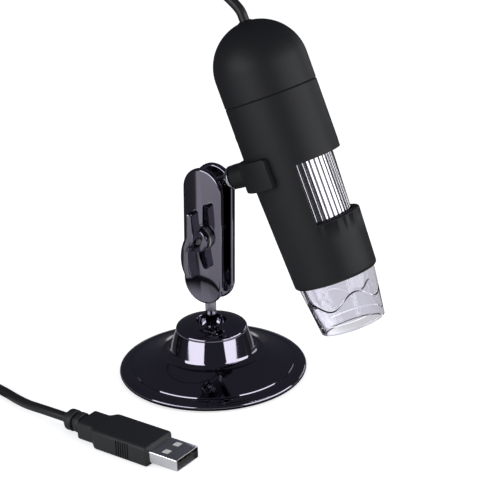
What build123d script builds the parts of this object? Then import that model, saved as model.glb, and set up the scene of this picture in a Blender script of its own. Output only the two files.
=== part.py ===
from build123d import *
import math
import os

os.makedirs("parts", exist_ok=True)

# All sizes are in millimetres. +Z is up, and the origin is the middle of the
# stand's underside. The stand, its arm and the scope's axis all lie in the XZ
# plane, and the clamp knob is on the -Y side.

# Clearances and overruns
cut_overrun = 2.0
shaft_clearance = 0.06
running_gap = 0.3
edge_break = 0.3

# Stand: a cast foot with a bell-shaped hub in its middle
base_radius = 35.4
rim_height = 2.8
rim_round = 1.1
band_radius = 30.9
band_height = 3.6
band_swell = 0.3
base_lift = 0.5
foot_radius = 19.6
foot_height = 8.3
dish_sag = 0.5
wall_foot_radius = 16.4
wall_foot_height = 10.2
flare_sag = 0.45
shoulder_radius = 12.8
shoulder_height = 17.9
shoulder_swell = 0.35
crown_radius = 11.4
crown_height = 19.55
cup_rim_radius = 5.6
cup_rim_height = 20.9
dome_sag = 0.25
cup_floor_radius = 4.2
cup_floor_height = 15.4
hub_floor = 3.4
casting_wall = 2.6
cavity_radius = 9.6
cavity_foot_radius = 31.0
pad_radius = 32.6
pad_depth = 1.2
pad_sink = 0.7

# Ball studs: the lower one stands in the hub, the upper one carries the clip
ball_radius = 3.8
stem_radius = 2.05
stud_thread_radius = 1.45
lower_ball_height = 36.2
stem_cone_height = 2.6
stem_neck_top = 23.6
stud_nut_flats = 5.5
stud_nut_height = 2.4
stud_washer_radius = 4.6
stud_washer_height = 0.8
stud_tail = 1.2

# Arm: two plates clamped over the balls
arm_lean = 2.3
ball_spacing = 38.8
plate_width = 17.3
plate_end = 7.1
plate_thickness = 2.3
plate_gap = 4.7
plate_edge_round = 0.65
socket_clearance = 0.08
bolt_radius = 2.0
bolt_hole_clearance = 0.2
bolt_head_radius = 4.2
bolt_head_height = 2.2
bolt_tail = 3.25

# Clamp knob, a wave-shaped wing on a round threaded hub
knob_washer_radius = 4.9
knob_washer_height = 1.0
washer_bore_clearance = 0.25
knob_seat_gap = 0.05
knob_hub_radius = 4.6
knob_hub_height = 2.4
knob_bore_clearance = 0.25
knob_depth = 6.9
wing_width = 3.2
wing_line = [
    (-0.4, 10.6),
    (-0.3, 7.4),
    (-0.25, 3.1),
    (-1.5, -1.2),
    (-2.3, -5.5),
    (-1.8, -9.8),
    (-0.9, -12.5),
]
wing_waist = 5.4
wing_edge_round = 0.6

# Scope: a round body that hangs beside the arm in a clip
scope_lean = 22.9
clip_reach = 41.0
clip_station = 50.2
scope_roll = -9.0
scope_radius = 16.5
shell_wall = 1.9
cap_length = 25.9
seam_chamfer = 0.22
spigot_length = 3.6
spigot_wall = 1.3
taper_start = 48.0
mouth_radius = 14.9
housing_end = 93.2
mouth_round = 1.3

# Focus wheel behind its window
window_top = 50.6
window_bottom = 71.9
window_angle = 126.0
wheel_radius = 12.75
wheel_core_radius = 12.15
wheel_bore_radius = 10.1
wheel_top = 50.0
wheel_length = 22.5
wheel_ribs = 40
wheel_rib_share = 0.78
wheel_end_gap = 0.35
wheel_side_gap = 0.45
wheel_shelf_height = 1.6
shelf_bore_radius = 10.5

# Lens carrier and what guides it
guide_radius = 10.0
guide_wall = 1.2
guide_top = 47.4
guide_flange_height = 1.9
guide_end = 75.4
guide_rim_height = 2.6
guide_rim_wall = 1.2
slot_width = 3.0
slot_top = 53.0
slot_bottom = 71.5
pin_radius = 1.2
pin_station = 62.2
barrel_wall = 1.5
barrel_top = 56.4
barrel_length = 24.0
lens_step = 0.9
front_lens_thickness = 3.2
rear_lens_thickness = 2.4
lens_bulge = 0.9
retainer_height = 1.6
retainer_wall = 1.3
lens_fit = 0.05

# Boards and electronics inside the body
sensor_board_thickness = 1.2
sensor_size = 7.2
sensor_thickness = 1.4
hood_size = 10.4
hood_height = 3.4
filter_radius = 4.1
filter_thickness = 0.7
main_board_station = 32.6
main_board_radius = 12.8
main_board_thickness = 1.4
standoff_radius = 1.9
standoff_circle = 10.2
screw_head_radius = 1.8
screw_head_height = 1.3
board_post_count = 3
chip_size = 7.0
chip_height = 1.2
header_length = 8.0
header_width = 3.6
header_height = 3.4
switch_width = 6.0
switch_depth = 3.4
switch_outer = 12.6
plunger_radius = 1.3
plunger_height = 0.4

# Snapshot button on the side away from the window
button_radius = 3.9
button_gap = 0.3
button_proud = 0.7
button_inner = 14.2
button_flange_radius = 5.0
button_flange_height = 0.55

# Lamp ring and clear nose
lamp_board_station = 88.0
lamp_board_inner = 6.6
lamp_board_thickness = 1.2
lamp_ledge = 0.7
lamp_count = 8
lamp_circle = 9.6
lamp_radius = 1.5
lamp_height = 4.4
lamp_flange_radius = 1.85
lamp_flange_height = 0.8
nose_top_radius = 13.75
nose_tip_radius = 11.5
nose_end = 111.2
nose_wall = 1.25
nose_tip_round = 0.75
nose_spigot_clearance = 0.1
nose_band_wall = 0.45
nose_band_height = 8.6

# Clip that holds the scope
clip_wall = 2.5
clip_width = 10.6
clip_clearance = 0.08
clip_end_angle = 83.0
clip_corner = 1.2
neck_radius = 4.2
neck_start = 12.8
neck_blend = 1.4
collar_radius = 4.35
collar_height = 1.2
stud_socket_depth = 6.0

# Cable, its gland and its plug
cord_radius = 1.75
gland_radius = 2.5
gland_proud = 0.4
gland_neck_radius = 2.8
gland_flange_radius = 5.2
gland_flange_height = 1.4
plug_x = -16.0
plug_y = -64.5
plug_yaw = 0.8
plug_axis_height = 3.9
plug_body_width = 14.8
plug_body_height = 7.8
plug_body_length = 22.9
plug_rear_width = 10.8
plug_rear_height = 7.1
plug_rear_length = 6.6
plug_shoulder_length = 2.9
plug_corner = 1.5
plug_front_round = 1.0
relief_radius = 2.9
relief_length = 9.4
relief_rings = [(0.6, 2.4, 3.8), (3.9, 1.6, 3.7), (6.4, 1.4, 3.5)]
grip_count = 6
grip_width = 0.5
grip_pitch = 1.0
grip_depth = 0.4
grip_start = 9.7
grip_share = 0.78
usb_width = 12.0
usb_height = 4.5
usb_length = 15.0
usb_sunk = 3.0
usb_wall = 0.32
usb_corner = 0.6
usb_hole = 2.5
usb_hole_spacing = 5.8
usb_hole_back = 6.4
tongue_thickness = 1.85
tongue_setback = 0.9
tongue_fit = 0.05
contact_count = 4
contact_pitch = 2.4
contact_width = 1.0
contact_height = 0.15
contact_length = 7.2

# Put-away coil of the cable, wound in and out again in two layers
coil_x = -141.0
coil_y = -31.0
coil_pitch = 3.98
coil_inner_radius = 13.7
coil_half_turns = 7
coil_lift = 0.75
coil_lead = 3.5
tie_thickness = 0.6
tie_width = 4.0
tie_gap = 0.1
tie_corner = 1.2

# Routes of the cable's free stretches, point by point
upper_route = [
    (15.9, 0, 144.0),
    (12.3, 0, 147.5),
    (6.3, 0, 151.1),
    (-3.2, 0, 154.3),
    (-19.0, 0, 156.6),
    (-43.0, -0.3, 156.4),
    (-70.0, -0.9, 150.6),
    (-94.0, -1.6, 138.0),
    (-108.0, -2.4, 116.5),
    (-113.5, -3.0, 90.0),
    (-114.0, -3.3, 62.0),
    (-112.6, -3.4, 38.0),
]
lower_route = [
    (-38.5, -62.9, 2.2),
    (-54.5, -58.9, 1.8),
    (-76.0, -56.6, 1.85),
    (-100.0, -57.3, 2.2),
]
cord_run_share = 0.45
exit_run = 3.4
plug_run = 11.0
coil_run = 18.0
landing_run = 8.5
landing_turns = 4


def profile_plane(frame):
    """Plane through a frame's axis: across is the radius, up is the place along the axis."""
    return Plane(origin=frame.origin, x_dir=frame.x_dir, z_dir=-frame.y_dir)


def axis_of(frame):
    return Axis(frame.origin, frame.z_dir)


def write(part, name):
    part.label = name
    export_step(part, f"parts/{name}.step")


# Frames: the foot, the arm, the stud of the clip and the scope
foot_frame = Plane.XY
lean = math.radians(arm_lean)
lower_ball = Vector(0, 0, lower_ball_height)
arm_frame = Plane(
    origin=lower_ball,
    x_dir=(math.cos(lean), 0, -math.sin(lean)),
    z_dir=(0, -1, 0),
)
upper_ball = arm_frame.from_local_coords(Vector(0, ball_spacing, 0))
tilt = math.radians(scope_lean)
stud_direction = Vector(math.cos(tilt), 0, math.sin(tilt))
scope_direction = Vector(math.sin(tilt), 0, -math.cos(tilt))
stud_frame = Plane(origin=upper_ball, x_dir=scope_direction, z_dir=stud_direction)
pole = upper_ball + stud_direction * clip_reach - scope_direction * clip_station
clip_frame = Plane(origin=pole, x_dir=stud_direction, z_dir=scope_direction)
roll = math.radians(scope_roll)
scope_frame = Plane(
    origin=pole,
    x_dir=stud_direction * math.cos(roll) + clip_frame.y_dir * math.sin(roll),
    z_dir=scope_direction,
)


# Foot of the stand, turned from one profile
def make_base_casting():
    cup_bore = stud_thread_radius + shaft_clearance
    hub_underside = cup_floor_height - hub_floor
    pad_top = base_lift + pad_sink
    band_middle = (
        (base_radius - rim_round + band_radius) / 2,
        (rim_height + band_height) / 2 + band_swell,
    )
    dish_middle = ((band_radius + foot_radius) / 2, (band_height + foot_height) / 2 - dish_sag)
    flare_middle = (
        (foot_radius + wall_foot_radius) / 2 - flare_sag,
        (foot_height + wall_foot_height) / 2 - flare_sag,
    )
    shoulder_middle = (
        (shoulder_radius + crown_radius) / 2 + shoulder_swell,
        (shoulder_height + crown_height) / 2 + shoulder_swell,
    )
    dome_middle = (
        (crown_radius + cup_rim_radius) / 2,
        (crown_height + cup_rim_height) / 2 + dome_sag,
    )
    with BuildPart() as casting:
        with BuildSketch(profile_plane(foot_frame)):
            with BuildLine():
                Polyline(
                    (cup_bore, hub_underside),
                    (cavity_radius, hub_underside),
                    (cavity_radius, foot_height - casting_wall),
                    (cavity_foot_radius, pad_top + edge_break),
                    (cavity_foot_radius, pad_top),
                    (pad_radius + edge_break, pad_top),
                    (pad_radius + edge_break, base_lift),
                    (base_radius - rim_round, base_lift),
                )
                ThreePointArc(
                    (base_radius - rim_round, base_lift),
                    (base_radius, (base_lift + rim_height) / 2),
                    (base_radius - rim_round, rim_height),
                )
                ThreePointArc(
                    (base_radius - rim_round, rim_height), band_middle, (band_radius, band_height)
                )
                ThreePointArc((band_radius, band_height), dish_middle, (foot_radius, foot_height))
                ThreePointArc(
                    (foot_radius, foot_height), flare_middle, (wall_foot_radius, wall_foot_height)
                )
                Line((wall_foot_radius, wall_foot_height), (shoulder_radius, shoulder_height))
                ThreePointArc(
                    (shoulder_radius, shoulder_height), shoulder_middle, (crown_radius, crown_height)
                )
                ThreePointArc(
                    (crown_radius, crown_height), dome_middle, (cup_rim_radius, cup_rim_height)
                )
                Polyline(
                    (cup_rim_radius, cup_rim_height),
                    (cup_floor_radius, cup_floor_height),
                    (cup_bore, cup_floor_height),
                    (cup_bore, hub_underside),
                )
            make_face()
        revolve(axis=axis_of(foot_frame))
    write(casting.part, "base_casting")


def make_base_pad():
    with BuildPart() as pad:
        Cylinder(pad_radius, pad_depth, align=(Align.CENTER, Align.CENTER, Align.MIN))
        fillet(pad.edges().group_by(Axis.Z)[0], edge_break)
    write(pad.part, "base_pad")


# Lower stud with the nut that holds it in the hub
def make_lower_stud():
    hub_underside = cup_floor_height - hub_floor
    washer_bottom = hub_underside - stud_washer_height
    nut_bottom = washer_bottom - stud_nut_height
    stud_end = nut_bottom - stud_tail
    ball_join = math.sqrt(ball_radius**2 - stem_radius**2)
    with BuildPart() as stud:
        with BuildSketch(profile_plane(foot_frame)):
            with BuildLine():
                Polyline(
                    (0, lower_ball_height + ball_radius),
                    (0, stud_end),
                    (stud_thread_radius - edge_break, stud_end),
                    (stud_thread_radius, stud_end + edge_break),
                    (stud_thread_radius, stem_neck_top - stem_cone_height),
                    (stem_radius, stem_neck_top),
                    (stem_radius, lower_ball_height - ball_join),
                )
                ThreePointArc(
                    (stem_radius, lower_ball_height - ball_join),
                    (ball_radius, lower_ball_height),
                    (0, lower_ball_height + ball_radius),
                )
            make_face()
        revolve(axis=axis_of(foot_frame))
    write(stud.part, "lower_ball_stud")

    with BuildPart() as washer:
        with BuildSketch(Plane.XY.offset(washer_bottom)):
            Circle(stud_washer_radius)
            Circle(stud_thread_radius, mode=Mode.SUBTRACT)
        extrude(amount=stud_washer_height)
    write(washer.part, "stud_washer")

    with BuildPart() as nut:
        with BuildSketch(Plane.XY.offset(nut_bottom)):
            RegularPolygon(stud_nut_flats / 2, 6, major_radius=False)
            Circle(stud_thread_radius, mode=Mode.SUBTRACT)
        extrude(amount=stud_nut_height)
        chamfer(nut.faces().sort_by(Axis.Z)[0].outer_wire().edges(), edge_break)
    write(nut.part, "stud_nut")


# Arm: one plate each side of the balls, drawn together by a bolt
def make_plate(name, side):
    arm_middle = ball_spacing / 2
    plate_length = ball_spacing + 2 * plate_end
    inner_face = arm_frame.offset(side * plate_gap / 2)
    with BuildPart() as plate:
        with BuildSketch(inner_face):
            with Locations((0, arm_middle)):
                SlotOverall(plate_length, plate_width, rotation=90)
                Circle(bolt_radius + bolt_hole_clearance, mode=Mode.SUBTRACT)
        extrude(amount=side * plate_thickness)
        for face in (plate.faces().sort_by(Axis.Y)[0], plate.faces().sort_by(Axis.Y)[-1]):
            fillet(face.outer_wire().edges(), plate_edge_round)
        with Locations(lower_ball, upper_ball):
            Sphere(ball_radius + socket_clearance, mode=Mode.SUBTRACT)
    write(plate.part, name)


def make_clamp_bolt():
    arm_middle = ball_spacing / 2
    rear_face = arm_frame.offset(-plate_gap / 2 - plate_thickness)
    shank_length = plate_gap + 2 * plate_thickness + bolt_tail
    with BuildPart() as bolt:
        with BuildSketch(rear_face):
            with Locations((0, arm_middle)):
                Circle(bolt_radius)
        extrude(amount=shank_length)
        with BuildSketch(rear_face):
            with Locations((0, arm_middle)):
                Circle(bolt_head_radius)
        extrude(amount=-bolt_head_height)
        fillet(bolt.edges().group_by(Axis.Y)[-1], bolt_head_height - edge_break)
        chamfer(bolt.edges().group_by(Axis.Y)[0], edge_break)
    write(bolt.part, "clamp_bolt")


def make_knob():
    arm_middle = ball_spacing / 2
    seat = plate_gap / 2 + plate_thickness + knob_seat_gap
    washer_face = arm_frame.offset(seat)
    knob_face = arm_frame.offset(seat + knob_washer_height)
    with BuildPart() as washer:
        with BuildSketch(washer_face):
            with Locations((0, arm_middle)):
                Circle(knob_washer_radius)
                Circle(bolt_radius + washer_bore_clearance, mode=Mode.SUBTRACT)
        extrude(amount=knob_washer_height)
        chamfer(washer.faces().sort_by(Axis.Y)[0].outer_wire().edges(), edge_break)
    write(washer.part, "knob_washer")

    with BuildPart() as hub:
        with BuildSketch(knob_face):
            with Locations((0, arm_middle)):
                Circle(knob_hub_radius)
                Circle(bolt_radius + knob_bore_clearance, mode=Mode.SUBTRACT)
        extrude(amount=knob_hub_height)
        chamfer(hub.faces().sort_by(Axis.Y)[0].outer_wire().edges(), edge_break)
    write(hub.part, "knob_hub")

    wing = [(across, arm_middle + along) for across, along in wing_line]
    with BuildPart() as knob:
        with BuildSketch(knob_face.offset(knob_hub_height)):
            with BuildLine(Plane.XY):
                Spline(*wing)
            trace(line_width=wing_width)
            with Locations((0, arm_middle)):
                Circle(wing_waist / 2)
        extrude(amount=knob_depth - knob_hub_height)
        fillet(knob.faces().sort_by(Axis.Y)[0].outer_wire().edges(), wing_edge_round)
    write(knob.part, "clamp_knob")


# Upper stud: a ball, a stem into the clip's neck and the bright collar against it
def make_upper_stud():
    ball_join = math.sqrt(ball_radius**2 - stem_radius**2)
    stem_end = neck_start + stud_socket_depth - running_gap
    with BuildPart() as stud:
        with BuildSketch(profile_plane(stud_frame)):
            with BuildLine():
                ThreePointArc((0, -ball_radius), (ball_radius, 0), (stem_radius, ball_join))
                Polyline(
                    (stem_radius, ball_join),
                    (stem_radius, stem_end - edge_break),
                    (stem_radius - edge_break, stem_end),
                    (0, stem_end),
                    (0, -ball_radius),
                )
            make_face()
        revolve(axis=axis_of(stud_frame))
    write(stud.part, "upper_ball_stud")

    with BuildPart() as collar:
        with BuildSketch(stud_frame.offset(neck_start - collar_height)):
            Circle(collar_radius)
            Circle(stem_radius + shaft_clearance, mode=Mode.SUBTRACT)
        extrude(amount=collar_height)
        fillet(collar.faces().sort_by(Axis.X)[0].outer_wire().edges(), edge_break)
    write(collar.part, "stud_collar")


def make_scope_holder():
    inner = scope_radius + clip_clearance
    outer = inner + clip_wall
    opening = outer + cut_overrun
    ring_bottom = clip_frame.offset(clip_station - clip_width / 2)
    end = math.radians(clip_end_angle)
    with BuildPart() as holder:
        with BuildSketch(ring_bottom):
            Circle(outer)
            Circle(inner, mode=Mode.SUBTRACT)
            with BuildLine():
                Polyline(
                    (0, 0),
                    (opening * math.cos(end), opening * math.sin(end)),
                    (opening, opening * math.sin(end)),
                    (opening, -opening * math.sin(end)),
                    (opening * math.cos(end), -opening * math.sin(end)),
                    close=True,
                )
            make_face(mode=Mode.SUBTRACT)
        extrude(amount=clip_width)
        ends = holder.edges().filter_by(lambda e: abs(e.length - clip_wall) < edge_break / 2)
        fillet(ends, clip_corner)
        with BuildSketch(stud_frame.offset(neck_start)):
            Circle(neck_radius)
        extrude(amount=clip_reach - inner - clip_wall / 2 - neck_start)
        fillet(holder.edges(Select.LAST).sort_by(axis_of(stud_frame))[-1], neck_blend)
        with BuildSketch(stud_frame.offset(neck_start)):
            Circle(stem_radius + shaft_clearance)
        extrude(amount=stud_socket_depth, mode=Mode.SUBTRACT)
    write(holder.part, "scope_holder")


# Shells of the scope
def make_rear_cap():
    inner = scope_radius - shell_wall
    spigot_inner = inner - spigot_wall
    spigot_end = cap_length + spigot_length
    spigot_start = cap_length - spigot_length
    dome_share = math.sqrt(2) / 2
    with BuildPart() as cap:
        with BuildSketch(profile_plane(scope_frame)):
            with BuildLine():
                ThreePointArc(
                    (0, 0),
                    (scope_radius * dome_share, scope_radius * (1 - dome_share)),
                    (scope_radius, scope_radius),
                )
                Polyline(
                    (scope_radius, scope_radius),
                    (scope_radius, cap_length - seam_chamfer),
                    (scope_radius - seam_chamfer, cap_length),
                    (inner - shaft_clearance, cap_length),
                    (inner - shaft_clearance, spigot_end),
                    (spigot_inner, spigot_end),
                    (spigot_inner, spigot_start),
                    (inner, spigot_start - spigot_wall),
                    (inner, scope_radius),
                )
                ThreePointArc(
                    (inner, scope_radius),
                    (inner * dome_share, scope_radius - inner * dome_share),
                    (0, shell_wall),
                )
                Line((0, shell_wall), (0, 0))
            make_face()
        revolve(axis=axis_of(scope_frame))
        with BuildSketch(scope_frame.offset(-cut_overrun)):
            Circle(gland_neck_radius)
        extrude(amount=2 * cut_overrun + shell_wall, mode=Mode.SUBTRACT)
    write(cap.part, "rear_cap")


def make_main_housing():
    upper_bore = scope_radius - shell_wall
    wheel_bore = wheel_radius + wheel_side_gap
    shelf_top = wheel_top + wheel_length + wheel_end_gap
    shelf_bottom = shelf_top + wheel_shelf_height
    seat = guide_top + guide_flange_height
    lamp_bore = mouth_radius - shell_wall
    ledge_bore = lamp_bore - lamp_ledge
    button_station = main_board_station + main_board_thickness + switch_width / 2
    middle = (window_top + window_bottom) / 2
    window_height = window_bottom - window_top
    half_angle = math.radians(window_angle / 2)
    reach = scope_radius + cut_overrun
    with BuildPart() as housing:
        with BuildSketch(profile_plane(scope_frame)):
            with BuildLine():
                Polyline(
                    (upper_bore, cap_length),
                    (scope_radius - seam_chamfer, cap_length),
                    (scope_radius, cap_length + seam_chamfer),
                    (scope_radius, taper_start),
                    (mouth_radius, housing_end),
                    (lamp_bore, housing_end),
                    (lamp_bore, lamp_board_station),
                    (ledge_bore, lamp_board_station),
                    (ledge_bore, shelf_bottom),
                    (shelf_bore_radius, shelf_bottom),
                    (shelf_bore_radius, shelf_top),
                    (wheel_bore, shelf_top),
                    (wheel_bore, seat),
                    (upper_bore, seat),
                    close=True,
                )
            make_face()
        revolve(axis=axis_of(scope_frame))
        mouth = housing.faces().sort_by(axis_of(scope_frame))[-1].outer_wire().edges()
        fillet(mouth, mouth_round)
        with BuildSketch(scope_frame.offset(window_top)):
            with BuildLine():
                Polyline(
                    (0, 0),
                    (reach * math.cos(half_angle), reach * math.sin(half_angle)),
                    (reach, reach * math.sin(half_angle)),
                    (reach, -reach * math.sin(half_angle)),
                    (reach * math.cos(half_angle), -reach * math.sin(half_angle)),
                    close=True,
                )
            make_face()
        extrude(amount=window_height, mode=Mode.SUBTRACT)
        button_plane = Plane(
            origin=scope_frame.from_local_coords(Vector(0, 0, button_station)),
            x_dir=scope_frame.z_dir,
            z_dir=-scope_frame.x_dir,
        )
        with BuildSketch(button_plane.offset(upper_bore - cut_overrun)):
            Circle(button_radius + button_gap)
        extrude(amount=shell_wall + 2 * cut_overrun, mode=Mode.SUBTRACT)
    write(housing.part, "main_housing")


def make_snapshot_button():
    station = main_board_station + main_board_thickness + switch_width / 2
    bore = scope_radius - shell_wall - button_gap
    crown = scope_radius + button_proud
    button_plane = Plane(
        origin=scope_frame.from_local_coords(Vector(0, 0, station)),
        x_dir=scope_frame.z_dir,
        z_dir=-scope_frame.x_dir,
    )
    with BuildPart() as button:
        with BuildSketch(button_plane.offset(button_inner - button_flange_height)):
            Circle(button_flange_radius)
        extrude(amount=shell_wall)
        with BuildSketch(scope_frame.offset(station - button_flange_radius - cut_overrun)):
            Circle(bore)
        extrude(amount=2 * (button_flange_radius + cut_overrun), mode=Mode.INTERSECT)
        with BuildSketch(button_plane.offset(button_inner - button_flange_height)):
            Circle(button_radius)
        extrude(amount=crown - button_inner + button_flange_height)
        fillet(button.faces().sort_by(Axis(button_plane.origin, button_plane.z_dir))[-1].edges(), edge_break)
    write(button.part, "snapshot_button")


# Focus wheel, a bright ribbed sleeve that the finger turns through the window
def make_focus_wheel():
    rib_pitch = 2 * math.pi * wheel_radius / wheel_ribs
    rib_width = rib_pitch * wheel_rib_share
    rib_height = wheel_radius - wheel_core_radius
    with BuildPart() as wheel:
        with BuildSketch(scope_frame.offset(wheel_top)):
            Circle(wheel_core_radius)
            with PolarLocations(wheel_core_radius, wheel_ribs):
                Rectangle(2 * rib_height, rib_width)
            Circle(wheel_bore_radius, mode=Mode.SUBTRACT)
        extrude(amount=wheel_length)
    write(wheel.part, "focus_wheel")


def make_guide_tube():
    bore = guide_radius - guide_wall
    flange_radius = scope_radius - shell_wall - shaft_clearance
    rim_top = guide_top - guide_rim_height
    with BuildPart() as guide:
        with BuildSketch(profile_plane(scope_frame)):
            with BuildLine():
                Polyline(
                    (bore, guide_end),
                    (guide_radius, guide_end),
                    (guide_radius, guide_top + guide_flange_height),
                    (flange_radius, guide_top + guide_flange_height),
                    (flange_radius, rim_top),
                    (flange_radius - guide_rim_wall, rim_top),
                    (flange_radius - guide_rim_wall, guide_top),
                    (bore, guide_top),
                    close=True,
                )
            make_face()
        revolve(axis=axis_of(scope_frame))
        slot_plane = Plane(
            origin=scope_frame.from_local_coords(Vector(0, 0, 0)),
            x_dir=scope_frame.z_dir,
            z_dir=scope_frame.y_dir,
        )
        with BuildSketch(slot_plane.offset(-guide_radius - cut_overrun)):
            with Locations(((slot_top + slot_bottom) / 2, 0)):
                SlotOverall(slot_bottom - slot_top, slot_width)
        extrude(amount=2 * (guide_radius + cut_overrun), mode=Mode.SUBTRACT)
    write(guide.part, "focus_guide_tube")


def lens_curve(rim_radius, bulge):
    """Middle and top of a spherical lens face, as radius and height above its rim."""
    sphere = (rim_radius**2 + bulge**2) / (2 * bulge)
    half = math.asin(rim_radius / sphere) / 2
    return sphere * math.sin(half), bulge - sphere * (1 - math.cos(half))


def make_lens_barrel():
    outer = guide_radius - guide_wall - running_gap
    inner = outer - barrel_wall
    lens_seat = inner - lens_step
    end = barrel_top + barrel_length
    front_seat = end - retainer_height - front_lens_thickness
    rear_seat = barrel_top + retainer_height + rear_lens_thickness
    with BuildPart() as barrel:
        with BuildSketch(profile_plane(scope_frame)):
            with BuildLine():
                Polyline(
                    (inner, barrel_top),
                    (outer, barrel_top),
                    (outer, end),
                    (inner, end),
                    (inner, front_seat),
                    (lens_seat, front_seat),
                    (lens_seat, rear_seat),
                    (inner, rear_seat),
                    close=True,
                )
            make_face()
        revolve(axis=axis_of(scope_frame))
        pin_plane = Plane(
            origin=scope_frame.from_local_coords(Vector(0, 0, pin_station)),
            x_dir=scope_frame.z_dir,
            z_dir=scope_frame.y_dir,
        )
        pin_end = guide_radius - shaft_clearance
        for side in (1, -1):
            with BuildSketch(pin_plane.offset(side * (outer - barrel_wall / 2))):
                Circle(pin_radius)
            extrude(amount=side * (pin_end - outer + barrel_wall / 2))
    write(barrel.part, "lens_barrel")

    lens_radius = inner - lens_fit
    dome_radius = lens_radius - retainer_wall - lens_fit
    curve_radius, curve_height = lens_curve(dome_radius, lens_bulge)
    with BuildPart() as front_lens:
        with BuildSketch(profile_plane(scope_frame)):
            with BuildLine():
                Polyline(
                    (0, front_seat),
                    (lens_radius, front_seat),
                    (lens_radius, front_seat + front_lens_thickness),
                    (dome_radius, front_seat + front_lens_thickness),
                )
                ThreePointArc(
                    (dome_radius, front_seat + front_lens_thickness),
                    (curve_radius, front_seat + front_lens_thickness + curve_height),
                    (0, front_seat + front_lens_thickness + lens_bulge),
                )
                Line(
                    (0, front_seat + front_lens_thickness + lens_bulge),
                    (0, front_seat),
                )
            make_face()
        revolve(axis=axis_of(scope_frame))
    write(front_lens.part, "front_lens")

    with BuildPart() as rear_lens:
        with BuildSketch(profile_plane(scope_frame)):
            with BuildLine():
                Polyline(
                    (0, rear_seat),
                    (lens_radius, rear_seat),
                    (lens_radius, rear_seat - rear_lens_thickness),
                    (dome_radius, rear_seat - rear_lens_thickness),
                )
                ThreePointArc(
                    (dome_radius, rear_seat - rear_lens_thickness),
                    (curve_radius, rear_seat - rear_lens_thickness - curve_height),
                    (0, rear_seat - rear_lens_thickness - lens_bulge),
                )
                Line(
                    (0, rear_seat - rear_lens_thickness - lens_bulge),
                    (0, rear_seat),
                )
            make_face()
        revolve(axis=axis_of(scope_frame))
    write(rear_lens.part, "rear_lens")

    for name, start in (("front_lens_ring", end - retainer_height), ("rear_lens_ring", barrel_top)):
        with BuildPart() as ring:
            with BuildSketch(scope_frame.offset(start)):
                Circle(lens_radius)
                Circle(lens_radius - retainer_wall, mode=Mode.SUBTRACT)
            extrude(amount=retainer_height)
        write(ring.part, name)


# Boards, sensor and switch
def make_boards():
    rim_top = guide_top - guide_rim_height
    sensor_board_top = rim_top - sensor_board_thickness
    board_radius = scope_radius - shell_wall - running_gap
    with BuildPart() as sensor_board:
        with BuildSketch(scope_frame.offset(sensor_board_top)):
            Circle(board_radius)
        extrude(amount=sensor_board_thickness)
    write(sensor_board.part, "sensor_board")

    with BuildPart() as sensor:
        with BuildSketch(scope_frame.offset(rim_top)):
            Rectangle(sensor_size, sensor_size)
        extrude(amount=sensor_thickness)
    write(sensor.part, "image_sensor")

    filter_start = hood_height - filter_thickness
    with BuildPart() as hood:
        with BuildSketch(scope_frame.offset(rim_top)):
            RectangleRounded(hood_size, hood_size, edge_break)
        extrude(amount=hood_height)
        with BuildSketch(scope_frame.offset(rim_top)):
            Rectangle(sensor_size + running_gap, sensor_size + running_gap)
        extrude(amount=sensor_thickness + running_gap, mode=Mode.SUBTRACT)
        with BuildSketch(scope_frame.offset(rim_top)):
            Circle(sensor_size / 2 - edge_break)
        extrude(amount=hood_height, mode=Mode.SUBTRACT)
        with BuildSketch(scope_frame.offset(rim_top + filter_start)):
            Circle(filter_radius + lens_fit)
        extrude(amount=filter_thickness, mode=Mode.SUBTRACT)
    write(hood.part, "sensor_hood")

    with BuildPart() as ir_filter:
        with BuildSketch(scope_frame.offset(rim_top + filter_start)):
            Circle(filter_radius)
        extrude(amount=filter_thickness)
    write(ir_filter.part, "infrared_filter")

    main_bottom = main_board_station + main_board_thickness
    with BuildPart() as main_board:
        with BuildSketch(scope_frame.offset(main_board_station)):
            Circle(main_board_radius)
        extrude(amount=main_board_thickness)
    write(main_board.part, "main_board")

    with BuildPart() as chips:
        with BuildSketch(scope_frame.offset(main_board_station)):
            with Locations((chip_size / 2, 0)):
                Rectangle(chip_size, chip_size)
        extrude(amount=-chip_height)
        with BuildSketch(scope_frame.offset(main_board_station)):
            with Locations((-chip_size / 2, 0)):
                Rectangle(header_width, header_length)
        extrude(amount=-header_height)
    write(chips.part, "controller_and_header")

    with BuildPart() as standoffs:
        with BuildSketch(scope_frame.offset(main_bottom)):
            with PolarLocations(standoff_circle, board_post_count):
                RegularPolygon(standoff_radius, 6)
        extrude(amount=sensor_board_top - main_bottom)
    write(standoffs.part, "board_standoffs")

    with BuildPart() as screws:
        with BuildSketch(scope_frame.offset(main_board_station)):
            with PolarLocations(standoff_circle, board_post_count):
                Circle(screw_head_radius)
        extrude(amount=-screw_head_height)
        fillet(
            screws.faces().group_by(axis_of(scope_frame))[0].edges(),
            screw_head_height / 2,
        )
    write(screws.part, "board_screws")

    switch_station = main_bottom + switch_width / 2
    switch_plane = Plane(
        origin=scope_frame.from_local_coords(Vector(0, 0, switch_station)),
        x_dir=scope_frame.z_dir,
        z_dir=-scope_frame.x_dir,
    )
    with BuildPart() as switch:
        with BuildSketch(switch_plane.offset(switch_outer)):
            Rectangle(switch_width, switch_width)
        extrude(amount=-switch_depth)
        with BuildSketch(switch_plane.offset(switch_outer)):
            Circle(plunger_radius)
        extrude(amount=plunger_height)
    write(switch.part, "snapshot_switch")


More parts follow.
